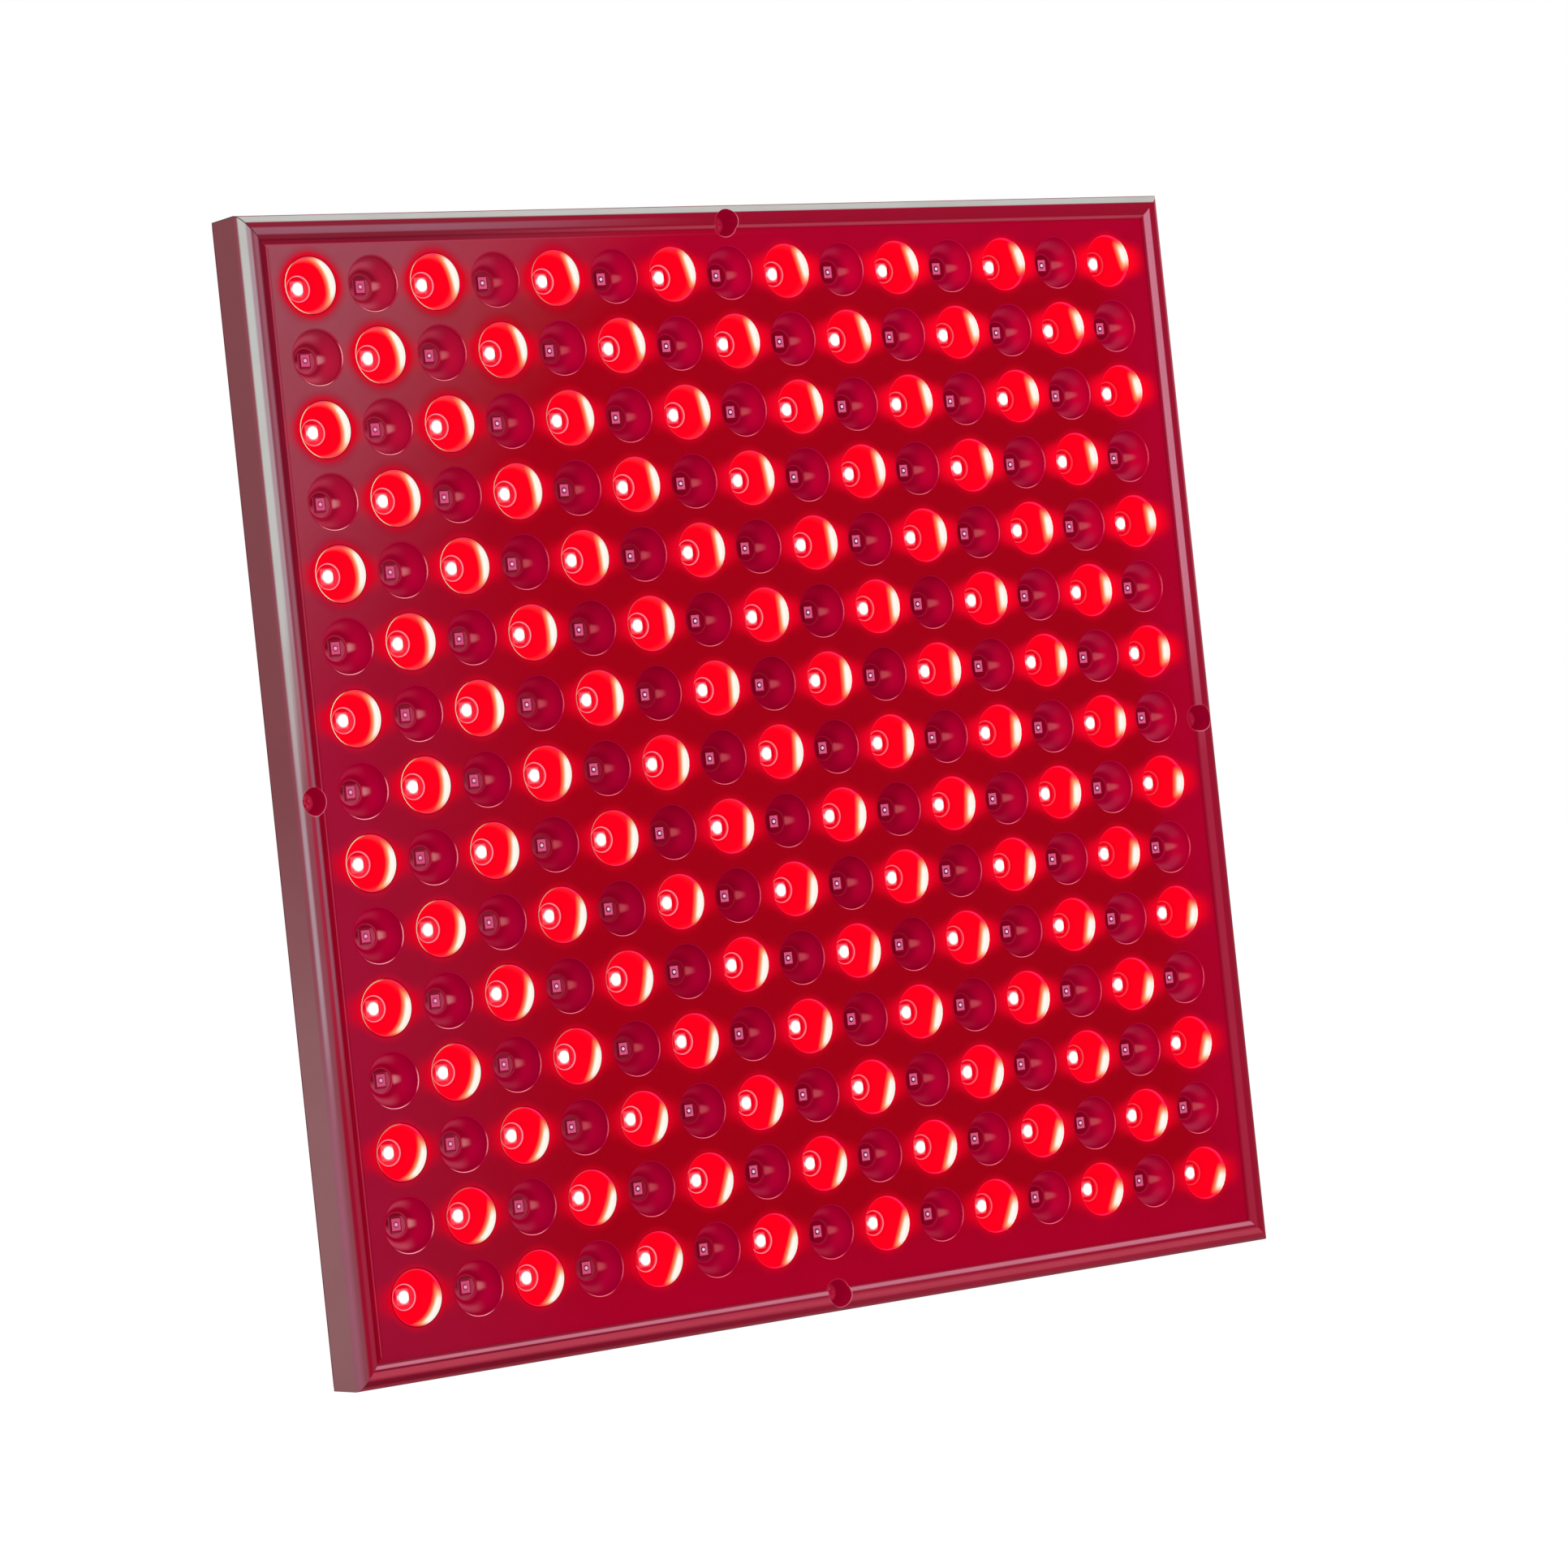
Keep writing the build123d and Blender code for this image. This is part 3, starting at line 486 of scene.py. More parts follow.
def make_frame_finish():
    finish = Finish("frame_finish")
    lay, mix = finish.lay, finish.mix
    x, y, z = finish.place()
    up = z - middle_mm
    inward = half_mm - abs(x).largest(abs(up))
    wide = (abs(x) - abs(up)).ramp(-0.02, 0.02)
    right, high = shares(finish)
    rim = partial(bands, finish, inward)
    # Each bar, and each end of it, has its own stripes, as the painted light falls on it differently
    left_high = rim(
        (dull, 0.3), (shine, 0.6, 2), (mauve, 2.5, 3.4), (dull, 3.8, 4.3), (rose, 4.7, 5.6), (wine, 6)
    )
    left_middle = rim(
        (dull, 0.4), (mauve, 0.8, 1.3), (dull, 1.8, 3), (ruby, 3.5, 4.4), (rose, 4.8, 5.6), (crimson, 6)
    )
    left_low = rim((rose, 0, 0.8), (dull, 2, 2.6), (crimson, 3.4, 4.2), (ruby, 4.8, 6), (crimson, 6.3))
    left = mix(high.ramp(0.72, 0.45), left_high, left_middle)
    left = mix(high.ramp(0.38, 0.2), left, left_low)
    top_left = rim((wine, 0.25), (shine, 0.45, 1.9), (wine, 2.2, 3.3), (rose, 3.7, 5.1), (wine, 5.5))
    top_right = rim((wine, 0.25), (shine, 0.45, 2), (crimson, 2.3, 5.7), (pink, 5.95, 6.4))
    top = mix(right.ramp(0.15, 0.5), top_left, top_right)
    right_high = rim((wine, 0.1, 0.9), (pink, 1.1, 1.7), (crimson, 1.95, 3.8), (blush, 4.1, 5.8), (crimson, 6.1))
    right_low = rim((wine, 0.1), (crimson, 1.3, 3.9), (ruby, 4.2, 5.9), (crimson, 6.2))
    right_bar = mix(high.ramp(0.66, 0.45), right_high, right_low)
    bottom_left = rim(
        (ruby, 0.2, 0.9), (claret, 1.2, 2.3), (pink, 3.2, 4.4),
        (claret, 4.75, 5.05), (blush, 5.3, 5.9), (wine, 6.15),
    )
    bottom_right = rim((ruby, 0.2, 2.1), (pink, 2.5, 3.6), (crimson, 4.4, 4.8), (blush, 5.2, 6), (crimson, 6.25))
    bottom = mix(right.ramp(0.15, 0.8), bottom_left, bottom_right)
    sides = mix(x.ramp(-0.02, 0.02), left, right_bar)
    ends = mix(up.ramp(-0.02, 0.02), bottom, top)
    finish.colour = mix(wide, ends, sides)
    # Painted light on the side wall: darker at the top, lighter towards the bottom
    wall = mix(z.ramp(170, 70), (130, 62, 70), (148, 96, 100))
    deep = y - front_mm
    lay(deep.ramp(1.7, 2.7), wall)
    mottle = finish.noise(45, 3)
    lay(mottle.ramp(0.4, 0.8) * 0.1, 118, 30, 42)
    rear_line = y.ramp(rear_mm - 0.6, rear_mm - 0.3)
    lay(rear_line * 0.75, 92, 6, 22)
    # Painted shade along the mitre at the upper left corner
    corner = abs((x + half_mm) - (2 * middle_mm - z))
    upper_left = (x * -1).ramp(half_mm - 7, half_mm - 4) * z.ramp(290, 300)
    mitre_shade = corner.ramp(0.3, 0.12) * upper_left
    lay(mitre_shade * 0.85, 56, 8, 16)
    # Painted shade and red glow in the pocket and on the bar's inner wall seen through it, and a painted highlight
    # on the pocket's rim
    from_pocket, disc, ring, lower_right = nearest_pocket(finish)
    behind = deep.ramp(1.2, 1.4) * inward.ramp(0.5, 0.8) * from_pocket.ramp(9, 8)
    pocket = behind.largest(disc)
    lay(pocket, *pocket_shade)
    lay(ring * (lower_right * 0.75 + 0.1), 238, 140, 152)
    # A rough patch at the upper left, long up and down
    beside, above = x + half_mm - 5.2, z - 284
    off_patch = (beside * beside * 4 + above * above * 0.08).root()
    patch = finish.noise(420) * off_patch.ramp(7, 2)
    grain = finish.noise(700)
    finish.bump(grain * 0.06 + patch, 0.25 * mm, 0.6)
    return finish.coat(0.42, 0.07, finish.colour, pocket_painted_glow, pocket * pocket_strength)


def make_board_finish():
    finish = Finish("lamp_board")
    mix = finish.mix
    _, y, _ = finish.place()
    front = y.ramp(board_low.y / mm + 0.2, board_low.y / mm + 0.1)
    right, _ = shares(finish)
    across, up, _ = own_cup(finish)
    _, _, distance, inside = nearest_lit(finish)
    lit = distance.ramp(6, 5) * inside
    leftmost = right.ramp(0.45, 0)
    # The bare board is a painted sheen, paler in the left columns, with a painted shadow above and left of each
    # lamp
    shadow = up.ramp(1.9, 2.3).largest((across * -1).ramp(1.6, 2) * up.ramp(-1.5, 0.5))
    bare = mix(leftmost, (126, 0, 28), (162, 62, 84))
    bare = mix(shadow * leftmost, bare, (116, 0, 26))
    # A painted glow round each lit lamp, and a faint painted glow over the whole front
    core = abs(across).ramp(2.1, 1.5) * abs(up).ramp(2.5, 1.8)
    glow = mix(core, (214, 0, 22), (255, 70, 84))
    metal = mix(finish.noise(120, 3).ramp(0.3, 0.7), (120, 110, 112), (138, 128, 130))
    base = mix(front, metal, bare)
    return finish.coat(0.5, 0.02, base, mix(lit, bare, glow), (lit * 0.35 + 0.6) * front)


def make_lit_lamp():
    finish = Finish("lit_lamp")
    across, up, _ = own_cup(finish)
    wide, tall = across / 1.72, up / 1.8
    core = (wide * wide + tall * tall).ramp(1.15, 0.6)
    glow = finish.mix(core, (255, 64, 78), (255, 255, 252))
    return finish.coat(0.4, 0.5, (200, 110, 120), glow, 1.1)


def make_dark_lamp():
    finish = Finish("dark_lamp")
    right, _ = shares(finish)
    across, up, _ = own_cup(finish)
    # Painted sheen: the body is paler and pinker in the left columns
    rest = right.ramp(0.1, 0.4)
    body = finish.mix(rest, (150, 24, 62), (132, 0, 34))
    area = (abs(across) - 1.3).largest(abs(up - 0.12) - 1.6)
    phosphor = finish.mix(rest, (206, 84, 128), (215, 95, 140))
    finish.colour = finish.mix(area.ramp(0.06, -0.06), body, phosphor)
    finish.lay(area.hump(0.1, 0.24, 0.06) * 0.8, 104, 0, 26)
    # A painted glint: a white-pink dot in a dark ring on the chip
    eye = (across * across + (up - 0.1) * (up - 0.1)).root()
    middle = finish.mix(eye.ramp(0.55, 0.35), (96, 10, 52), (255, 226, 244))
    pupil = (abs(across) * 0.8).largest(eye).ramp(0.95, 0.8) * (abs(across) * 1.2).ramp(1, 0.8)
    finish.lay(pupil.largest(eye.ramp(0.6, 0.5)) * (0.55 + rest * 0.45), middle)
    # The unlit lamp is given a painted glow
    return finish.coat(0.4, 0.05, finish.colour, finish.colour, 0.4)


def make_plain(
    name, first, second, scale=80, roughness=0.45, metallic=0, grain=600, depth=0.02, stretch=None, **more
):
    """A moulded, rubbed or painted finish: two near tones, a varying roughness and a fine grain."""
    finish = Finish(name)
    cloud = finish.noise(scale, 3)
    base = finish.mix(cloud.ramp(0.3, 0.7), first, second)
    finish.set(Base_Color=base, Roughness=cloud * 0.16 + (roughness - 0.08), Metallic=metallic, **more)
    finish.bump(finish.noise(grain, 2, stretch), depth * mm, 0.5)
    return finish.material


# Meshes


def show(piece):
    """Puts an object in the scene."""
    bpy.context.scene.collection.objects.link(piece)
    return piece


class Shape:
    """Points and faces of one mesh, in metres."""

    def __init__(self):
        self.points = []
        self.faces = []
        self.slots = []

    def loop(self, points):
        start = len(self.points)
        self.points.extend(tuple(p) for p in points)
        return list(range(start, len(self.points)))

    def face(self, points, slot=0):
        self.faces.append(tuple(points))
        self.slots.append(slot)

    def bridge(self, first, second, slot=0):
        for i in range(len(first)):
            j = (i + 1) % len(first)
            self.face((first[i], first[j], second[j], second[i]), slot)

    def stack(self, rows, closed=True):
        """Loops of points joined one after another, with a face over each end where closed."""
        loops = [self.loop(row) for row in rows]
        for first, second in zip(loops, loops[1:]):
            self.bridge(first, second)
        if closed:
            self.face(loops[0])
            self.face(loops[-1])
        return loops

    def make(self, name, materials, sharp=32):
        mesh = bpy.data.meshes.new(name)
        mesh.from_pydata(self.points, [], self.faces)
        mesh.polygons.foreach_set("material_index", self.slots)
        piece = show(bpy.data.objects.new(name, mesh))
        for material in materials:
            mesh.materials.append(material)
        clean(piece, sharp)
        return piece


def clean(piece, sharp=32, drop=None):
    """Drops a slot's faces, welds a piece's points, turns its faces outwards and smooths it up to an angle."""
    shape = bmesh.new()
    shape.from_mesh(piece.data)
    dropped = [face for face in shape.faces if face.material_index == drop]
    bmesh.ops.delete(shape, geom=dropped, context="FACES")
    bmesh.ops.remove_doubles(shape, verts=shape.verts, dist=weld)
    bmesh.ops.recalc_face_normals(shape, faces=shape.faces)
    shape.to_mesh(piece.data)
    shape.free()
    piece.data.shade_smooth()
    piece.data.set_sharp_from_angle(angle=radians(sharp))


def modify(piece, kind, **settings):
    """Makes a modifier's work part of a piece's mesh."""
    adjust(piece.modifiers.new("work", kind), **settings)
    bpy.context.view_layer.update()
    graph = bpy.context.evaluated_depsgraph_get()
    mesh = bpy.data.meshes.new_from_object(piece.evaluated_get(graph))
    piece.modifiers.clear()
    piece.data = mesh


def cut(piece, cutters, operation="DIFFERENCE"):
    """Takes cutters away from a piece, or adds them to it, and removes them."""
    for cutter in cutters:
        modify(piece, "BOOLEAN", operation=operation, solver="EXACT", object=cutter)
        bpy.data.objects.remove(cutter)


def soften(piece, width):
    """Rounds a piece's edges."""
    modify(piece, "BEVEL", width=width, segments=3, limit_method="ANGLE", angle_limit=radians(30))
    clean(piece, 50)


def quarter(steps, start=0):
    """The sine and cosine at even steps through a quarter turn."""
    return [(sin(pi / 2 * step / steps), cos(pi / 2 * step / steps)) for step in range(start, steps + 1)]


def circle(radius, sides, x=0, z=0, y=0):
    """A loop of points round an axis along Y."""
    angles = [2 * pi * i / sides for i in range(sides)]
    return [(x + radius * cos(a), y, z + radius * sin(a)) for a in angles]


def oblong(width, height, radius, y=0, x=0, z=0, steps=5):
    """A rounded rectangle as a loop of points in a plane across Y."""
    loop = []
    for corner, (sign_x, sign_z) in enumerate(((1, 1), (-1, 1), (-1, -1), (1, -1))):
        centre_x = x + sign_x * (width / 2 - radius)
        centre_z = z + sign_z * (height / 2 - radius)
        for step in range(steps + 1):
            angle = pi / 2 * (corner + step / steps)
            loop.append((centre_x + radius * cos(angle), y, centre_z + radius * sin(angle)))
    return loop


def rod(name, rows, materials=()):
    """A closed piece or cutter from loops of points."""
    shape = Shape()
    shape.stack(rows)
    return shape.make(name, materials)


def block(name, width, height, radius, x, z, low, high, steps=6):
    """A cutter along Y with a rounded rectangle for its outline."""
    return rod(name, [oblong(width, height, radius, y, x, z, steps) for y in (low, high)])


def hole(x, z, radius, low, high, sides=32):
    """A round cutter along Y."""
    return rod("hole", [circle(radius, sides, x, z, low), circle(radius, sides, x, z, high)])


def join(name, pieces):
    """One piece out of several, keeping the first one's materials."""
    shape = bmesh.new()
    for piece in pieces:
        piece.data.transform(piece.matrix_world)
        shape.from_mesh(piece.data)
    mesh = bpy.data.meshes.new(name)
    shape.to_mesh(mesh)
    shape.free()
    for material in pieces[0].data.materials:
        mesh.materials.append(material)
    for piece in pieces:
        bpy.data.objects.remove(piece)
    joined = show(bpy.data.objects.new(name, mesh))
    clean(joined)
    return joined


def dress(piece, node, body="panel"):
    """A piece stands for a CAD node, which it hides, and rides on a body."""
    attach(piece, body)
    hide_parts(node)


reach = half_width - pocket_inset
pocket_spots = [(0, outer_high.z - pocket_inset), (0, outer_low.z + pocket_inset)]
pocket_spots += [(reach, middle_z), (-reach, middle_z)]

# Reflector: 225 cups in a sheet, and the plain border round them with the screw pockets

face = make_face()
lit_cup = make_lit_cup()
dark_cup = make_dark_cup()

cups = [
    (column * pitch, grid_z + row * pitch, (column + row) % 2 == 0)
    for column in range(-last_cup, last_cup + 1)
    for row in range(-last_cup, last_cup + 1)
]
square = []
for across, _, up in circle(1, cup_sides):
    out = pitch / 2 / max(abs(across), abs(up))
    square.append((out * across, out * up))
cup_rows = [(mouth_radius + lip_round + edge_hold, face_y)]
for sine, cosine in quarter(lip_steps):
    cup_rows.append((mouth_radius + lip_round * (1 - sine), face_y + lip_round * (1 - cosine)))
wall_end = floor_y - throat_length
for step in range(1, wall_steps + 1):
    share = step / wall_steps
    radius = throat_radius + (mouth_radius - throat_radius) * (1 - share**wall_bow)
    cup_rows.append((radius, face_y + lip_round + (wall_end - face_y - lip_round) * share))
cup_rows.append((throat_radius, floor_y))

grid = Shape()
for x, z, lit in cups:
    front = grid.loop([(x + a, face_y, z + b) for a, b in square])
    rings = [grid.loop(circle(r, cup_sides, x, z, y)) for r, y in cup_rows]
    back = grid.loop([(x + a, floor_y, z + b) for a, b in square])
    grid.bridge(front, rings[0])
    grid.bridge(rings[0], rings[1])
    for first, second in zip(rings[1:], rings[2:]):
        grid.bridge(first, second, 1 if lit else 2)
    grid.bridge(rings[-1], back)
grid_piece = grid.make("cups", [face, lit_cup, dark_cup])

# The border's four sides are one side turned by quarters. Its inner wall, slot 1, goes once the pockets are cut
eighth = cup_sides // 8
edge_points = [
    column * pitch + pitch / 2 * tan(2 * pi * step / cup_sides)
    for column in range(-last_cup, last_cup + 1)
    for step in range(-eighth, eighth)
]
edge_points.append(grid_half)
reflector_half = half_width - frame_wall - border_play
border = Shape()
for cosine, sine in ((1, 0), (0, 1), (-1, 0), (0, -1)):
    loops = []
    for y in (face_y, floor_y):
        spots = [(-reflector_half, -reflector_half, middle_z), (reflector_half, -reflector_half, middle_z)]
        spots += [(p, -grid_half, grid_z) for p in reversed(edge_points)]
        loops.append(border.loop([(cosine * a - sine * b, y, z + sine * a + cosine * b) for a, b, z in spots]))
    front, back = loops
    border.face(front)
    border.face(back)
    border.face((front[0], front[1], back[1], back[0]))
    for i in range(2, len(front) - 1):
        border.face((front[i], front[i + 1], back[i + 1], back[i]), 1)
border_piece = border.make("border", [face, lit_cup])
pocket_y = floor_y - pocket_floor
pocket_front = front_y - overrun
cut(border_piece, [hole(x, z, pocket_radius, pocket_front, pocket_y, pocket_sides) for x, z in pocket_spots])
clean(border_piece, drop=1)
reflector = join("reflector", [grid_piece, border_piece])
dress(reflector, "reflector_panel")

# Frame: four mitred bars

frame_finish = make_frame_finish()
bar_depth = bar_high.y - bar_low.y
rim_rise = face_y - front_y
crown_end = rim_round + rim_crown
lip_depth = rim_rise - rim_lip
profile = [(0, bar_depth), (0, rim_round + edge_hold)]
profile += [(rim_round * (1 - cosine), rim_round * (1 - sine)) for sine, cosine in quarter(rim_steps)]
run_out = rim_width - crown_end
arc_radius = (run_out**2 + lip_depth**2) / (2 * lip_depth)
arc_turn = asin(run_out / arc_radius)
for step in range(crown_steps + 1):
    turn = arc_turn * step / crown_steps
    profile.append((crown_end + arc_radius * sin(turn), arc_radius * (1 - cos(turn))))
inside, behind = rim_width + rim_edge, bar_depth - flange_thickness
profile += [(inside, lip_depth + rim_edge), (inside, rim_rise), (frame_wall, rim_rise)]
profile += [(frame_wall, behind), (flange_width, behind), (flange_width, bar_depth)]

bars = {"bottom": ((0, 0, 1), 1), "top": ((0, 0, -1), 0), "left": ((1, 0, 0), 3), "right": ((-1, 0, 0), 2)}
middle = Vector((0, front_y, middle_z))
for label, (way, pocket) in bars.items():
    inward = Vector(way)
    run = inward.cross(Vector((0, 1, 0)))
    ends = [
        [middle + (run * sign - inward) * (half_width - t) + Vector((0, y, 0)) for t, y in profile]
        for sign in (-1, 1)
    ]
    bar = rod("bar_" + label, ends, [frame_finish])
    cut(bar, [hole(*pocket_spots[pocket], pocket_radius, pocket_front, face_y + edge_hold, pocket_sides)])
    clean(bar)
    dress(bar, "frame_" + label)


# Lamps: a package in each throat

lamp_width, lamp_length, lamp_height = 3.2 * mm, 4.2 * mm, 0.8 * mm
lamp_top = floor_y - lamp_height
lamp_edge = 0.12 * mm
lit_round, dark_round = 1.1 * mm, 0.3 * mm
lit_steps = ((0, floor_y), (0, lamp_top + lamp_edge), (0.1, lamp_top), (0.5, lamp_top), (0.9, lamp_top))
dark_steps = (*lit_steps[:3], (0.3, lamp_top), (0.4, lamp_top + lamp_edge))
chip = ((0.62, 0.12), (0.62, 0.04), (0.46, 0.02), (0.3, -0.02), (0.1, -0.04))


def package(shape, x, z, corner, steps):
    """A lamp's body: steps are how far it has drawn in, in mm, and where."""
    rows = []
    for drawn, y in steps:
        drawn = drawn * mm
        width, length = lamp_width - 2 * drawn, lamp_length - 2 * drawn
        rows.append(oblong(width, length, corner - drawn * 0.3, y, x, z, 3))
    shape.stack(rows)


lit_lamps, dark_lamps = Shape(), Shape()
for x, z, lit in cups:
    if lit:
        package(lit_lamps, x, z, lit_round, lit_steps)
    else:
        package(dark_lamps, x, z, dark_round, dark_steps)
        dark_lamps.stack([circle(r * mm, 12, x, z, lamp_top + y * mm) for r, y in chip])
dress(lit_lamps.make("lit_lamps", [make_lit_lamp()]), "red_leds")
dress(dark_lamps.make("dark_lamps", [make_dark_lamp()]), "infrared_leds")


# Screws with a cross recess

# The pocket screws are tinted red and given a painted red glow, standing in for the lamps' light in the pockets
screw_finish = make_plain(
    "screw_metal", (150, 20, 54), (172, 56, 86), 300, 0.4, 0.1, 900,
    Emission_Color=(166, 16, 52), Emission_Strength=0.6,
)
rear_screw_finish = make_plain("rear_screw_metal", (60, 56, 58), (88, 84, 86), 300, 0.36, 0.9, 900)
screw_sides = 24
screw_point = 0.6 * mm
dome_steps = 6
screw_turn = 37


def make_screw(name, head_radius, head_height, shank_radius, shank_length, material):
    """A pan-head screw about the Y axis, with its head towards -Y and its seat at the origin."""
    rows = [(0.4 * shank_radius, shank_length), (shank_radius, shank_length - screw_point)]
    rows += [(shank_radius, 0), (head_radius, 0)]
    for sine, cosine in quarter(dome_steps, 1):
        rows.append((head_radius * (0.45 + 0.55 * cosine), -head_height * (0.3 + 0.7 * sine)))
    rows.append((0.12 * head_radius, -head_height))
    screw = rod(name, [circle(r, screw_sides, y=y) for r, y in rows], [material])
    arm, thick, deep = head_radius * 0.55, head_radius * 0.16, head_height * 0.55
    steps = ((2, 0.3, -overrun), (2, 0.3, -sliver), (1.1, 0.15, deep))
    cutters = []
    for wide, tall in ((arm, thick), (thick, arm)):
        loops = [
            oblong(share * wide, share * tall, thick * corner, y - head_height, steps=1)
            for share, corner, y in steps
        ]
        cutters.append(rod("recess", loops))
    cut(screw, cutters)
    clean(screw)
    return screw


def set_screws(name, node, spots, seat_y, size, material, facing):
    """A screw at each spot, with its head to the front where facing is -1 and to the back where it is 1."""
    copies = []
    pattern = make_screw(name + "_pattern", *size, material)
    for index, (x, z) in enumerate(spots):
        copy = show(bpy.data.objects.new(f"{name}_{index}", pattern.data.copy()))
        turned = Matrix.Rotation(radians(screw_turn * index), 4, "Y")
        if facing > 0:
            turned = Matrix.Rotation(pi, 4, "Z") @ turned
        copy.matrix_world = Matrix.Translation((x, seat_y, z)) @ turned
        copies.append(copy)
    bpy.context.view_layer.update()
    bpy.data.objects.remove(pattern)
    dress(join(name, copies), node)


_, screw_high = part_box("front_screws")
front_size = (2.7 * mm, 1.9 * mm, 1.5 * mm, screw_high.y - pocket_y)
set_screws("pocket_screws", "front_screws", pocket_spots, pocket_y, front_size, screw_finish, -1)


# Rear cover: a sheet with rounded vents, and holes for screws, nuts and the lead

cover_paint = make_plain("cover_paint", (118, 54, 62), (126, 62, 70), 30, 0.42, 0, 800)
nut_metal = make_plain("nut_metal", (168, 170, 172), (196, 198, 200), 220, 0.28, 1)
rear_y = cover_high.y
driver_low, driver_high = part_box("driver_box")
box_screw_low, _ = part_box("driver_box_screws")
grommet_low, grommet_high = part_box("lead_grommet")
head_size = (2.4 * mm, 1.3 * mm, 1.2 * mm)
screw_hole = 1.35 * mm
nut_hole = 3.1 * mm
edge_reach = half_width - (frame_wall + flange_width) / 2
cover_screw_out = 88 * mm
hanging_out = half_width - 25 * mm
lug_out, lug_up, lug_wide, lug_thick = 79.5 * mm, 24 * mm, 11 * mm, 2.4 * mm


def corners(across, up):
    """Four spots, all as far to the side of the panel's middle and as far above or below it."""
    return [(side * across, middle_z + level * up) for side in (-1, 1) for level in (-1, 1)]


cover_screw_spots = corners(cover_screw_out, edge_reach) + corners(edge_reach, cover_screw_out)
hanging_spots = corners(hanging_out, hanging_out)
lug_spots = corners(lug_out, lug_up)


def move(piece, matrix):
    """Turns or shifts a piece's points."""
    piece.data.transform(matrix)
    return piece


cover_edge, cover_corner = 0.2 * mm, 0.8 * mm
cover_size = cover_high.x - cover_low.x
rows = [(cover_edge, cover_low.y), (0, cover_low.y + cover_edge), (0, rear_y - cover_edge), (cover_edge, rear_y)]
sheet_rows = []
for inset, y in rows:
    size = cover_size - 2 * inset
    sheet_rows.append(oblong(size, size, cover_corner, y, 0, middle_z, 3))
sheet = rod("rear_sheet", sheet_rows, [cover_paint])
through = (cover_low.y - overrun, rear_y + overrun)
cutters = [hole(x, z, screw_hole, *through) for x, z in cover_screw_spots + lug_spots]
cutters += [hole(x, z, nut_hole, *through) for x, z in hanging_spots]
vent_x, vent_long, vent_wide, vent_pitch, vents = 104 * mm, 34 * mm, 3 * mm, 9 * mm, 6
vent_round = vent_wide / 2 - sliver
for side in (-1, 1):
    for index in range(vents):
        z = middle_z + (index - (vents - 1) / 2) * vent_pitch
        cutters.append(block("vent", vent_long, vent_wide, vent_round, side * vent_x, z, *through))
lead_x, _, lead_z = (grommet_low + grommet_high) / 2
lead_wide, lead_high, lead_round = 3.8 * mm, 5.4 * mm, 0.5 * mm
cutters.append(block("lead_hole", lead_wide, lead_high, lead_round, lead_x, lead_z, *through, 3))
cut(sheet, [join("cutters", cutters)])
clean(sheet, 30)
dress(sheet, "rear_cover")

sizes = (*head_size, 3 * mm)
set_screws("cover_screw_heads", "cover_screws", cover_screw_spots, rear_y, sizes, rear_screw_finish, 1)
lug_top = rear_y + lug_thick
sizes = (*head_size, lug_top - box_screw_low.y)
set_screws("box_screw_heads", "driver_box_screws", lug_spots, lug_top, sizes, rear_screw_finish, 1)

# Hanging nuts: a flange on the cover, a barrel behind it and a threaded bore through both
nuts = Shape()
nut_low, nut_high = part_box("hanging_nuts")
flange_out, barrel_out, bore_out = 4.8 * mm, 2.9 * mm, 1.65 * mm
nut_edge, thread_deep, thread_pitch = 0.3 * mm, 0.18 * mm, 0.5 * mm
nut_rows = [
    (barrel_out - nut_edge, nut_low.y), (barrel_out, nut_low.y + nut_edge), (barrel_out, rear_y),
    (flange_out, rear_y), (flange_out, nut_high.y - nut_edge), (flange_out - nut_edge, nut_high.y),
    (bore_out + thread_pitch, nut_high.y),
]
y = nut_high.y - thread_pitch
while y > nut_low.y + thread_pitch:
    nut_rows += [(bore_out, y), (bore_out - thread_deep, y - thread_pitch / 2)]
    y -= thread_pitch
nut_rows.append((bore_out, nut_low.y))
for x, z in hanging_spots:
    loops = nuts.stack([circle(r, 32, x, z, y) for r, y in nut_rows], closed=False)
    nuts.bridge(loops[-1], loops[0])
dress(nuts.make("hanging_sockets", [nut_metal], 25), "hanging_nuts")

# Driver box: a rounded shell with four lugs, vents above and below, and openings in its left end
shell_long, shell_wide, shell_wall = 150 * mm, driver_high.z - driver_low.z, 2 * mm
shell_corner, shell_edge, hollow_corner = 5 * mm, 1.2 * mm, 3 * mm
shell_steps = 5
shell_rows = [oblong(shell_long, shell_wide, shell_corner, rear_y, 0, middle_z, 8)]
for sine, cosine in quarter(shell_steps):
    inset = shell_edge * (1 - cosine)
    y = driver_high.y - shell_edge * (1 - sine)
    long, wide = shell_long - 2 * inset, shell_wide - 2 * inset
    shell_rows.append(oblong(long, wide, shell_corner - inset, y, 0, middle_z, 8))
box_plastic = make_plain("box_plastic", (92, 30, 38), (102, 38, 46), 40, 0.5, 0, 1100, 0.05)
shell = rod("driver_shell", shell_rows, [box_plastic])
lug_long, lug_edge, lug_round = driver_high.x - driver_low.x, 0.4 * mm, 3.6 * mm
for z in (middle_z - lug_up, middle_z + lug_up):
    rows = [
        oblong(lug_long - 2 * i, lug_wide - 2 * i, lug_round - i, y, 0, z, 6)
        for i, y in ((0, rear_y), (0, lug_top - lug_edge), (lug_edge, lug_top))
    ]
    cut(shell, [rod("lug", rows)], "UNION")
hollow_long, hollow_wide = shell_long - 2 * shell_wall, shell_wide - 2 * shell_wall
hollow_end = driver_high.y - shell_wall
cut(shell, [block("hollow", hollow_long, hollow_wide, hollow_corner, 0, middle_z, rear_y - overrun, hollow_end)])
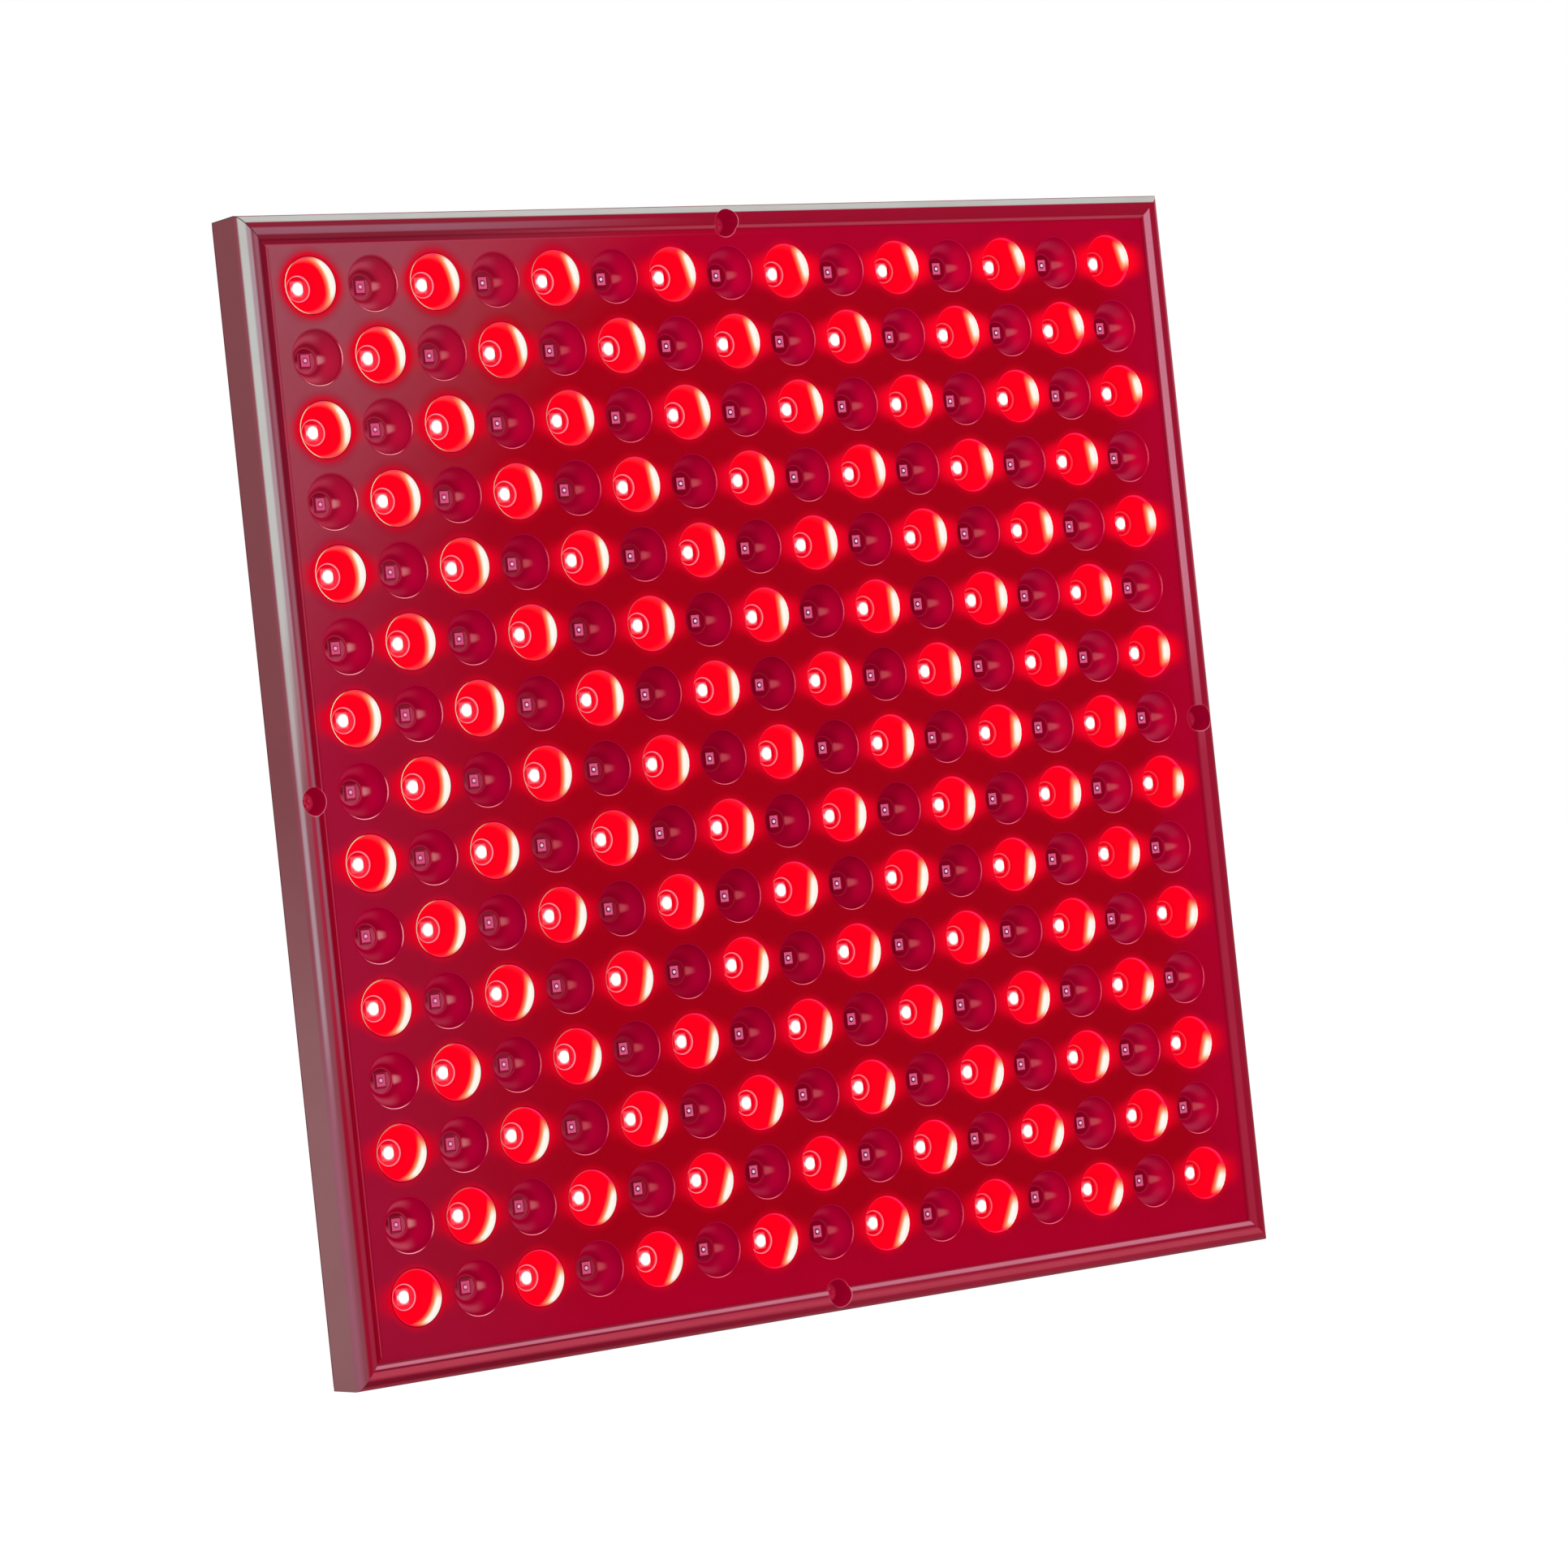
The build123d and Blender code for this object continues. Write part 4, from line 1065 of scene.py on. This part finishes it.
cut(shell, [hole(x, z, screw_hole, rear_y - overrun, rear_y + 2 * lug_thick) for x, z in lug_spots])
end_x, end_y = -shell_long / 2, (rear_y + driver_high.y) / 2
inlet_z, switch_z = middle_z - shell_wide / 4, middle_z + shell_wide / 4
to_left = Matrix.Rotation(-pi / 2, 4, "Z")


def slab(name, height, width, radius, x_far, x_near, y, z, materials=(), edge=0):
    """A closed block along X, height up and width across, with round corners and a round edge at x_far."""
    rows = [(0, x_near)]
    for sine, cosine in quarter(3) if edge else [(0, 1)]:
        rows.append((edge * (1 - cosine), x_far + edge * (1 - sine)))
    loops = [oblong(width - 2 * i, height - 2 * i, radius - i, x, 0, z) for i, x in rows]
    return move(rod(name, loops, materials), Matrix.Translation((0, y, 0)) @ to_left)


slot_wide, slot_long, slot_pitch, slots = 2.2 * mm, 12 * mm, 9 * mm, 6
slot_round = slot_wide / 2 - sliver
upright = Matrix.Rotation(-pi / 2, 4, "X")
cutters = []
for index in range(slots):
    x = (index - (slots - 1) / 2) * slot_pitch
    ends = (-middle_z - shell_wide, -middle_z + shell_wide)
    cutters.append(move(block("slot", slot_wide, slot_long, slot_round, x, end_y, *ends), upright))
opening = (0.4 * mm, end_x - overrun, end_x + 2 * overrun, end_y)
inlet_high, inlet_wide, switch_high, switch_wide, fit = 20 * mm, 10.6 * mm, 14.4 * mm, 9.6 * mm, 0.2 * mm
cutters.append(slab("opening", inlet_high + fit, inlet_wide + fit, *opening, inlet_z))
cutters.append(slab("opening", switch_high + fit, switch_wide + fit, *opening, switch_z))
cut(shell, [join("cutters", cutters)])
clean(shell, 30)
dress(shell, "driver_box")

# Power inlet: a socket with a figure-of-eight well and two round contacts
inlet_plastic = make_plain("inlet_plastic", (26, 24, 25), (36, 34, 35), 90, 0.4)
flange_x, collar_edge = end_x - 1.5 * mm, 0.4 * mm
inlet_deep, inlet_round, inlet_collar = 14 * mm, 0.8 * mm, (23 * mm, 13 * mm, 2 * mm)
body, collar = (end_x, end_x + inlet_deep, end_y), (flange_x, end_x, end_y)
socket = slab("inlet_socket", inlet_high, inlet_wide, inlet_round, *body, inlet_z, [inlet_plastic])
flange = slab("flange", *inlet_collar, *collar, inlet_z, [inlet_plastic], collar_edge)
cut(socket, [flange], "UNION")
pin_up = 4.3 * mm


def figure_eight(radius, waist, x):
    """The outline of a two-pin plug, in a plane across X."""
    loop = []
    turn = pi - asin(waist / radius)
    for sign in (1, -1):
        for step in range(17):
            angle = turn * (step / 8 - 1)
            up = sign * (pin_up + radius * cos(angle))
            loop.append((x, end_y - sign * radius * sin(angle), inlet_z + up))
    return loop


well_deep, well_radius, well_waist, well_edge = 11 * mm, 3.85 * mm, 2.9 * mm, 0.35 * mm
well = [
    figure_eight(well_radius + well_edge * 2, well_waist + well_edge * 2, flange_x - well_edge),
    figure_eight(well_radius, well_waist, flange_x + well_edge),
    figure_eight(well_radius, well_waist, flange_x + well_deep),
]
cut(socket, [rod("well", well)])
clean(socket, 30)
dress(socket, "power_inlet")
contacts = Shape()
pin_metal = make_plain("pin_metal", (190, 184, 160), (210, 206, 186), 260, 0.25, 1)
pin_root, pin_tip = flange_x + well_deep, flange_x + well_deep - 9 * mm
pin_rows = [(1.2, pin_root), (1.2, pin_tip + 0.9 * mm), (1.05, pin_tip + 0.4 * mm), (0.6, pin_tip)]
for sign in (-1, 1):
    loops = []
    for radius, x in pin_rows:
        ring = circle(radius * mm * 0.95, 24)
        loops.append([(x, end_y + a, inlet_z + sign * pin_up + b) for a, _, b in ring])
    contacts.stack(loops)
dress(contacts.make("inlet_contacts", [pin_metal]), "inlet_pins")

# Switch: a bezel round a well, and a rocker whose face is two shallow hollows
switch_plastic = make_plain("switch_plastic", (24, 22, 23), (34, 32, 33), 90, 0.38)
switch_deep, switch_round, switch_collar = 10 * mm, 0.5 * mm, (16.6 * mm, 11.6 * mm, 1.2 * mm)
rocker_well, rocker_deep = (12 * mm, 7 * mm, 0.3 * mm), 5.5 * mm
body = (end_x, end_x + switch_deep, end_y)
bezel = slab("switch_bezel", switch_high, switch_wide, switch_round, *body, switch_z, [switch_plastic])
flange = slab("flange", *switch_collar, *collar, switch_z, [switch_plastic], collar_edge)
cut(bezel, [flange], "UNION")
pivot = Vector((end_x - 0.2 * mm, end_y, switch_z))
axle_radius, axle_half, axle_play = 1 * mm, 4 * mm, 0.05 * mm
well = slab("well", *rocker_well, flange_x - overrun, flange_x + rocker_deep, end_y, switch_z)
axle_ends = (end_y - axle_half - axle_play, end_y + axle_half + axle_play)
bore = hole(pivot.x, pivot.z, axle_radius + axle_play, *axle_ends, 24)
cut(bezel, [well, bore])
clean(bezel, 30)
dress(bezel, "switch_housing")
tilt = radians(12)
along = Vector((sin(tilt), 0, cos(tilt)))
outward = Vector((-cos(tilt), 0, sin(tilt)))
key_half, key_rise, key_dip, key_hollow, key_wide = 5.4, 2.9, 1.7, 0.22, 3.2 * mm
key_side, key_foot, key_foot_half = -1.5, -3.6, key_half * 0.35
outline = []
for step in range(-8, 9):
    share = abs(step) / 8
    rise = key_dip + (key_rise - key_dip) * share - key_hollow * sin(pi * share)
    outline.append((key_half * step / 8, rise))
outline += [(key_half, key_side), (key_foot_half, key_foot), (-key_foot_half, key_foot), (-key_half, key_side)]
rows = [
    [pivot + along * a * mm + outward * b * mm + Vector((0, side, 0)) for a, b in outline]
    for side in (-key_wide, key_wide)
]
rocker_plastic = make_plain("rocker_plastic", (28, 26, 27), (40, 38, 39), 90, 0.3)
key = rod("switch_key", rows, [rocker_plastic])
soften(key, 0.3 * mm)
axle = hole(pivot.x, pivot.z, axle_radius, end_y - axle_half, end_y + axle_half, 24)
cut(key, [axle], "UNION")
clean(key, 30)
dress(key, "switch_rocker", "rocker")


# Plain finishes for the CAD nodes that stay

finishes = {
    "led_connector": ("connector_finish", (226, 220, 204), (238, 232, 218), 200, 0.4),
    "corner_keys": ("key_finish", (150, 152, 154), (176, 178, 180), 120, 0.35, 1, 500, 0.02, [1, 1, 9]),
    "screw_posts": ("post_finish", (158, 160, 162), (182, 184, 186), 160, 0.3, 1),
    "insulating_sheet": ("sheet_finish", (228, 214, 168), (236, 224, 184), 60, 0.3),
    "driver_standoffs": ("standoff_finish", (222, 220, 210), (234, 232, 224), 120, 0.45),
    "driver_board": ("supply_board", (22, 92, 52), (30, 108, 62), 90, 0.35),
    "driver_transformer": ("transformer_finish", (204, 176, 60), (218, 192, 84), 90, 0.4),
    "driver_capacitors": ("capacitor_finish", (26, 32, 64), (36, 44, 82), 120, 0.28),
    "driver_heat_sink": (
        "heat_sink_finish", (170, 172, 176), (196, 198, 202), 120, 0.32, 1, 500, 0.02, [1, 9, 1]
    ),
    "mains_leads": ("mains_lead_finish", (60, 46, 40), (80, 62, 54), 160, 0.4),
    "led_leads": ("lamp_lead_finish", (170, 30, 34), (186, 44, 46), 160, 0.4),
    "lead_grommet": ("grommet_rubber", (30, 30, 30), (42, 42, 42), 140, 0.65),
}
materials = {node: make_plain(*values) for node, values in finishes.items()}
materials["led_board"] = make_board_finish()
for node, material in materials.items():
    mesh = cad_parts[node].data
    mesh.materials.clear()
    mesh.materials.append(material)


# Floor, light and camera

floor_reach = 6
floor_level, floor_share, world_level = 1.1, 0.9, 0.62


def direct_rays(tree):
    """1 where a ray of the camera or one mirrored or let through arrives, and 0 for all others."""
    rays = tree.nodes.new("ShaderNodeLightPath").outputs
    kinds = [Field(tree, rays[f"Is {kind} Ray"]) for kind in ("Camera", "Glossy", "Transmission")]
    return kinds[0].largest(kinds[1]).largest(kinds[2])



floor = Shape()
floor.face(floor.loop([(a * floor_reach, b * floor_reach, 0) for a, b in ((-1, -1), (1, -1), (1, 1), (-1, 1))]))
ground = bpy.data.materials.new("floor")
ground.use_nodes = True
tree = ground.node_tree
tree.nodes.clear()
diffuse = add_node(tree, "ShaderNodeBsdfDiffuse", {"Color": [0.86, 0.86, 0.86, 1]})
white = add_node(tree, "ShaderNodeEmission", {"Strength": floor_level})
shaders = {0: direct_rays(tree) * floor_share, 1: diffuse.outputs[0], 2: white.outputs[0]}
blend = add_node(tree, "ShaderNodeMixShader", shaders)
add_node(tree, "ShaderNodeOutputMaterial", {0: blend.outputs[0]})
floor_piece = floor.make("floor", [ground])

world = bpy.data.worlds.new("studio")
bpy.context.scene.world = world
world.use_nodes = True
tree = world.node_tree
back = tree.nodes["Background"]
back.inputs["Color"].default_value = (1, 1, 1, 1)
plug(tree, direct_rays(tree) * (1 - world_level) + world_level, back.inputs["Strength"])


def lamp(name, direction, distance, width, height, power):
    """A softbox that faces the object's middle from a direction."""
    light = bpy.data.lights.new(name, "AREA")
    adjust(light, shape="RECTANGLE", size=width, size_y=height, energy=power)
    piece = bpy.data.objects.new(name, light)
    away = Vector(direction).normalized()
    piece.location = Vector((0, 0, middle_z)) + away * distance
    piece.rotation_euler = away.to_track_quat("Z", "Y").to_euler()
    show(piece)


lamp("strip_left", (-0.87, -0.47, 0.12), 3, 0.56, 3, 22)
lamp("soft_top", (-0.1, -0.9, 1), 3.6, 2.8, 2, 40)

camera = bpy.data.objects.new("camera", bpy.data.cameras.new("camera"))
adjust(camera.data, lens=121, sensor_width=36)
forward = Vector((0.5684, 0.8227, 0.0110)).normalized()
upward = Vector((0.0806, -0.0689, 0.9944))
right = forward.cross(upward).normalized()
upward = right.cross(forward)
turn = Matrix((right, upward, -forward)).transposed()
camera.matrix_world = Matrix.Translation((-0.8344, -1.2239, 0.1314)) @ turn.to_4x4()
show(camera)
bpy.context.scene.camera = camera
bpy.context.scene.view_settings.view_transform = "Standard"
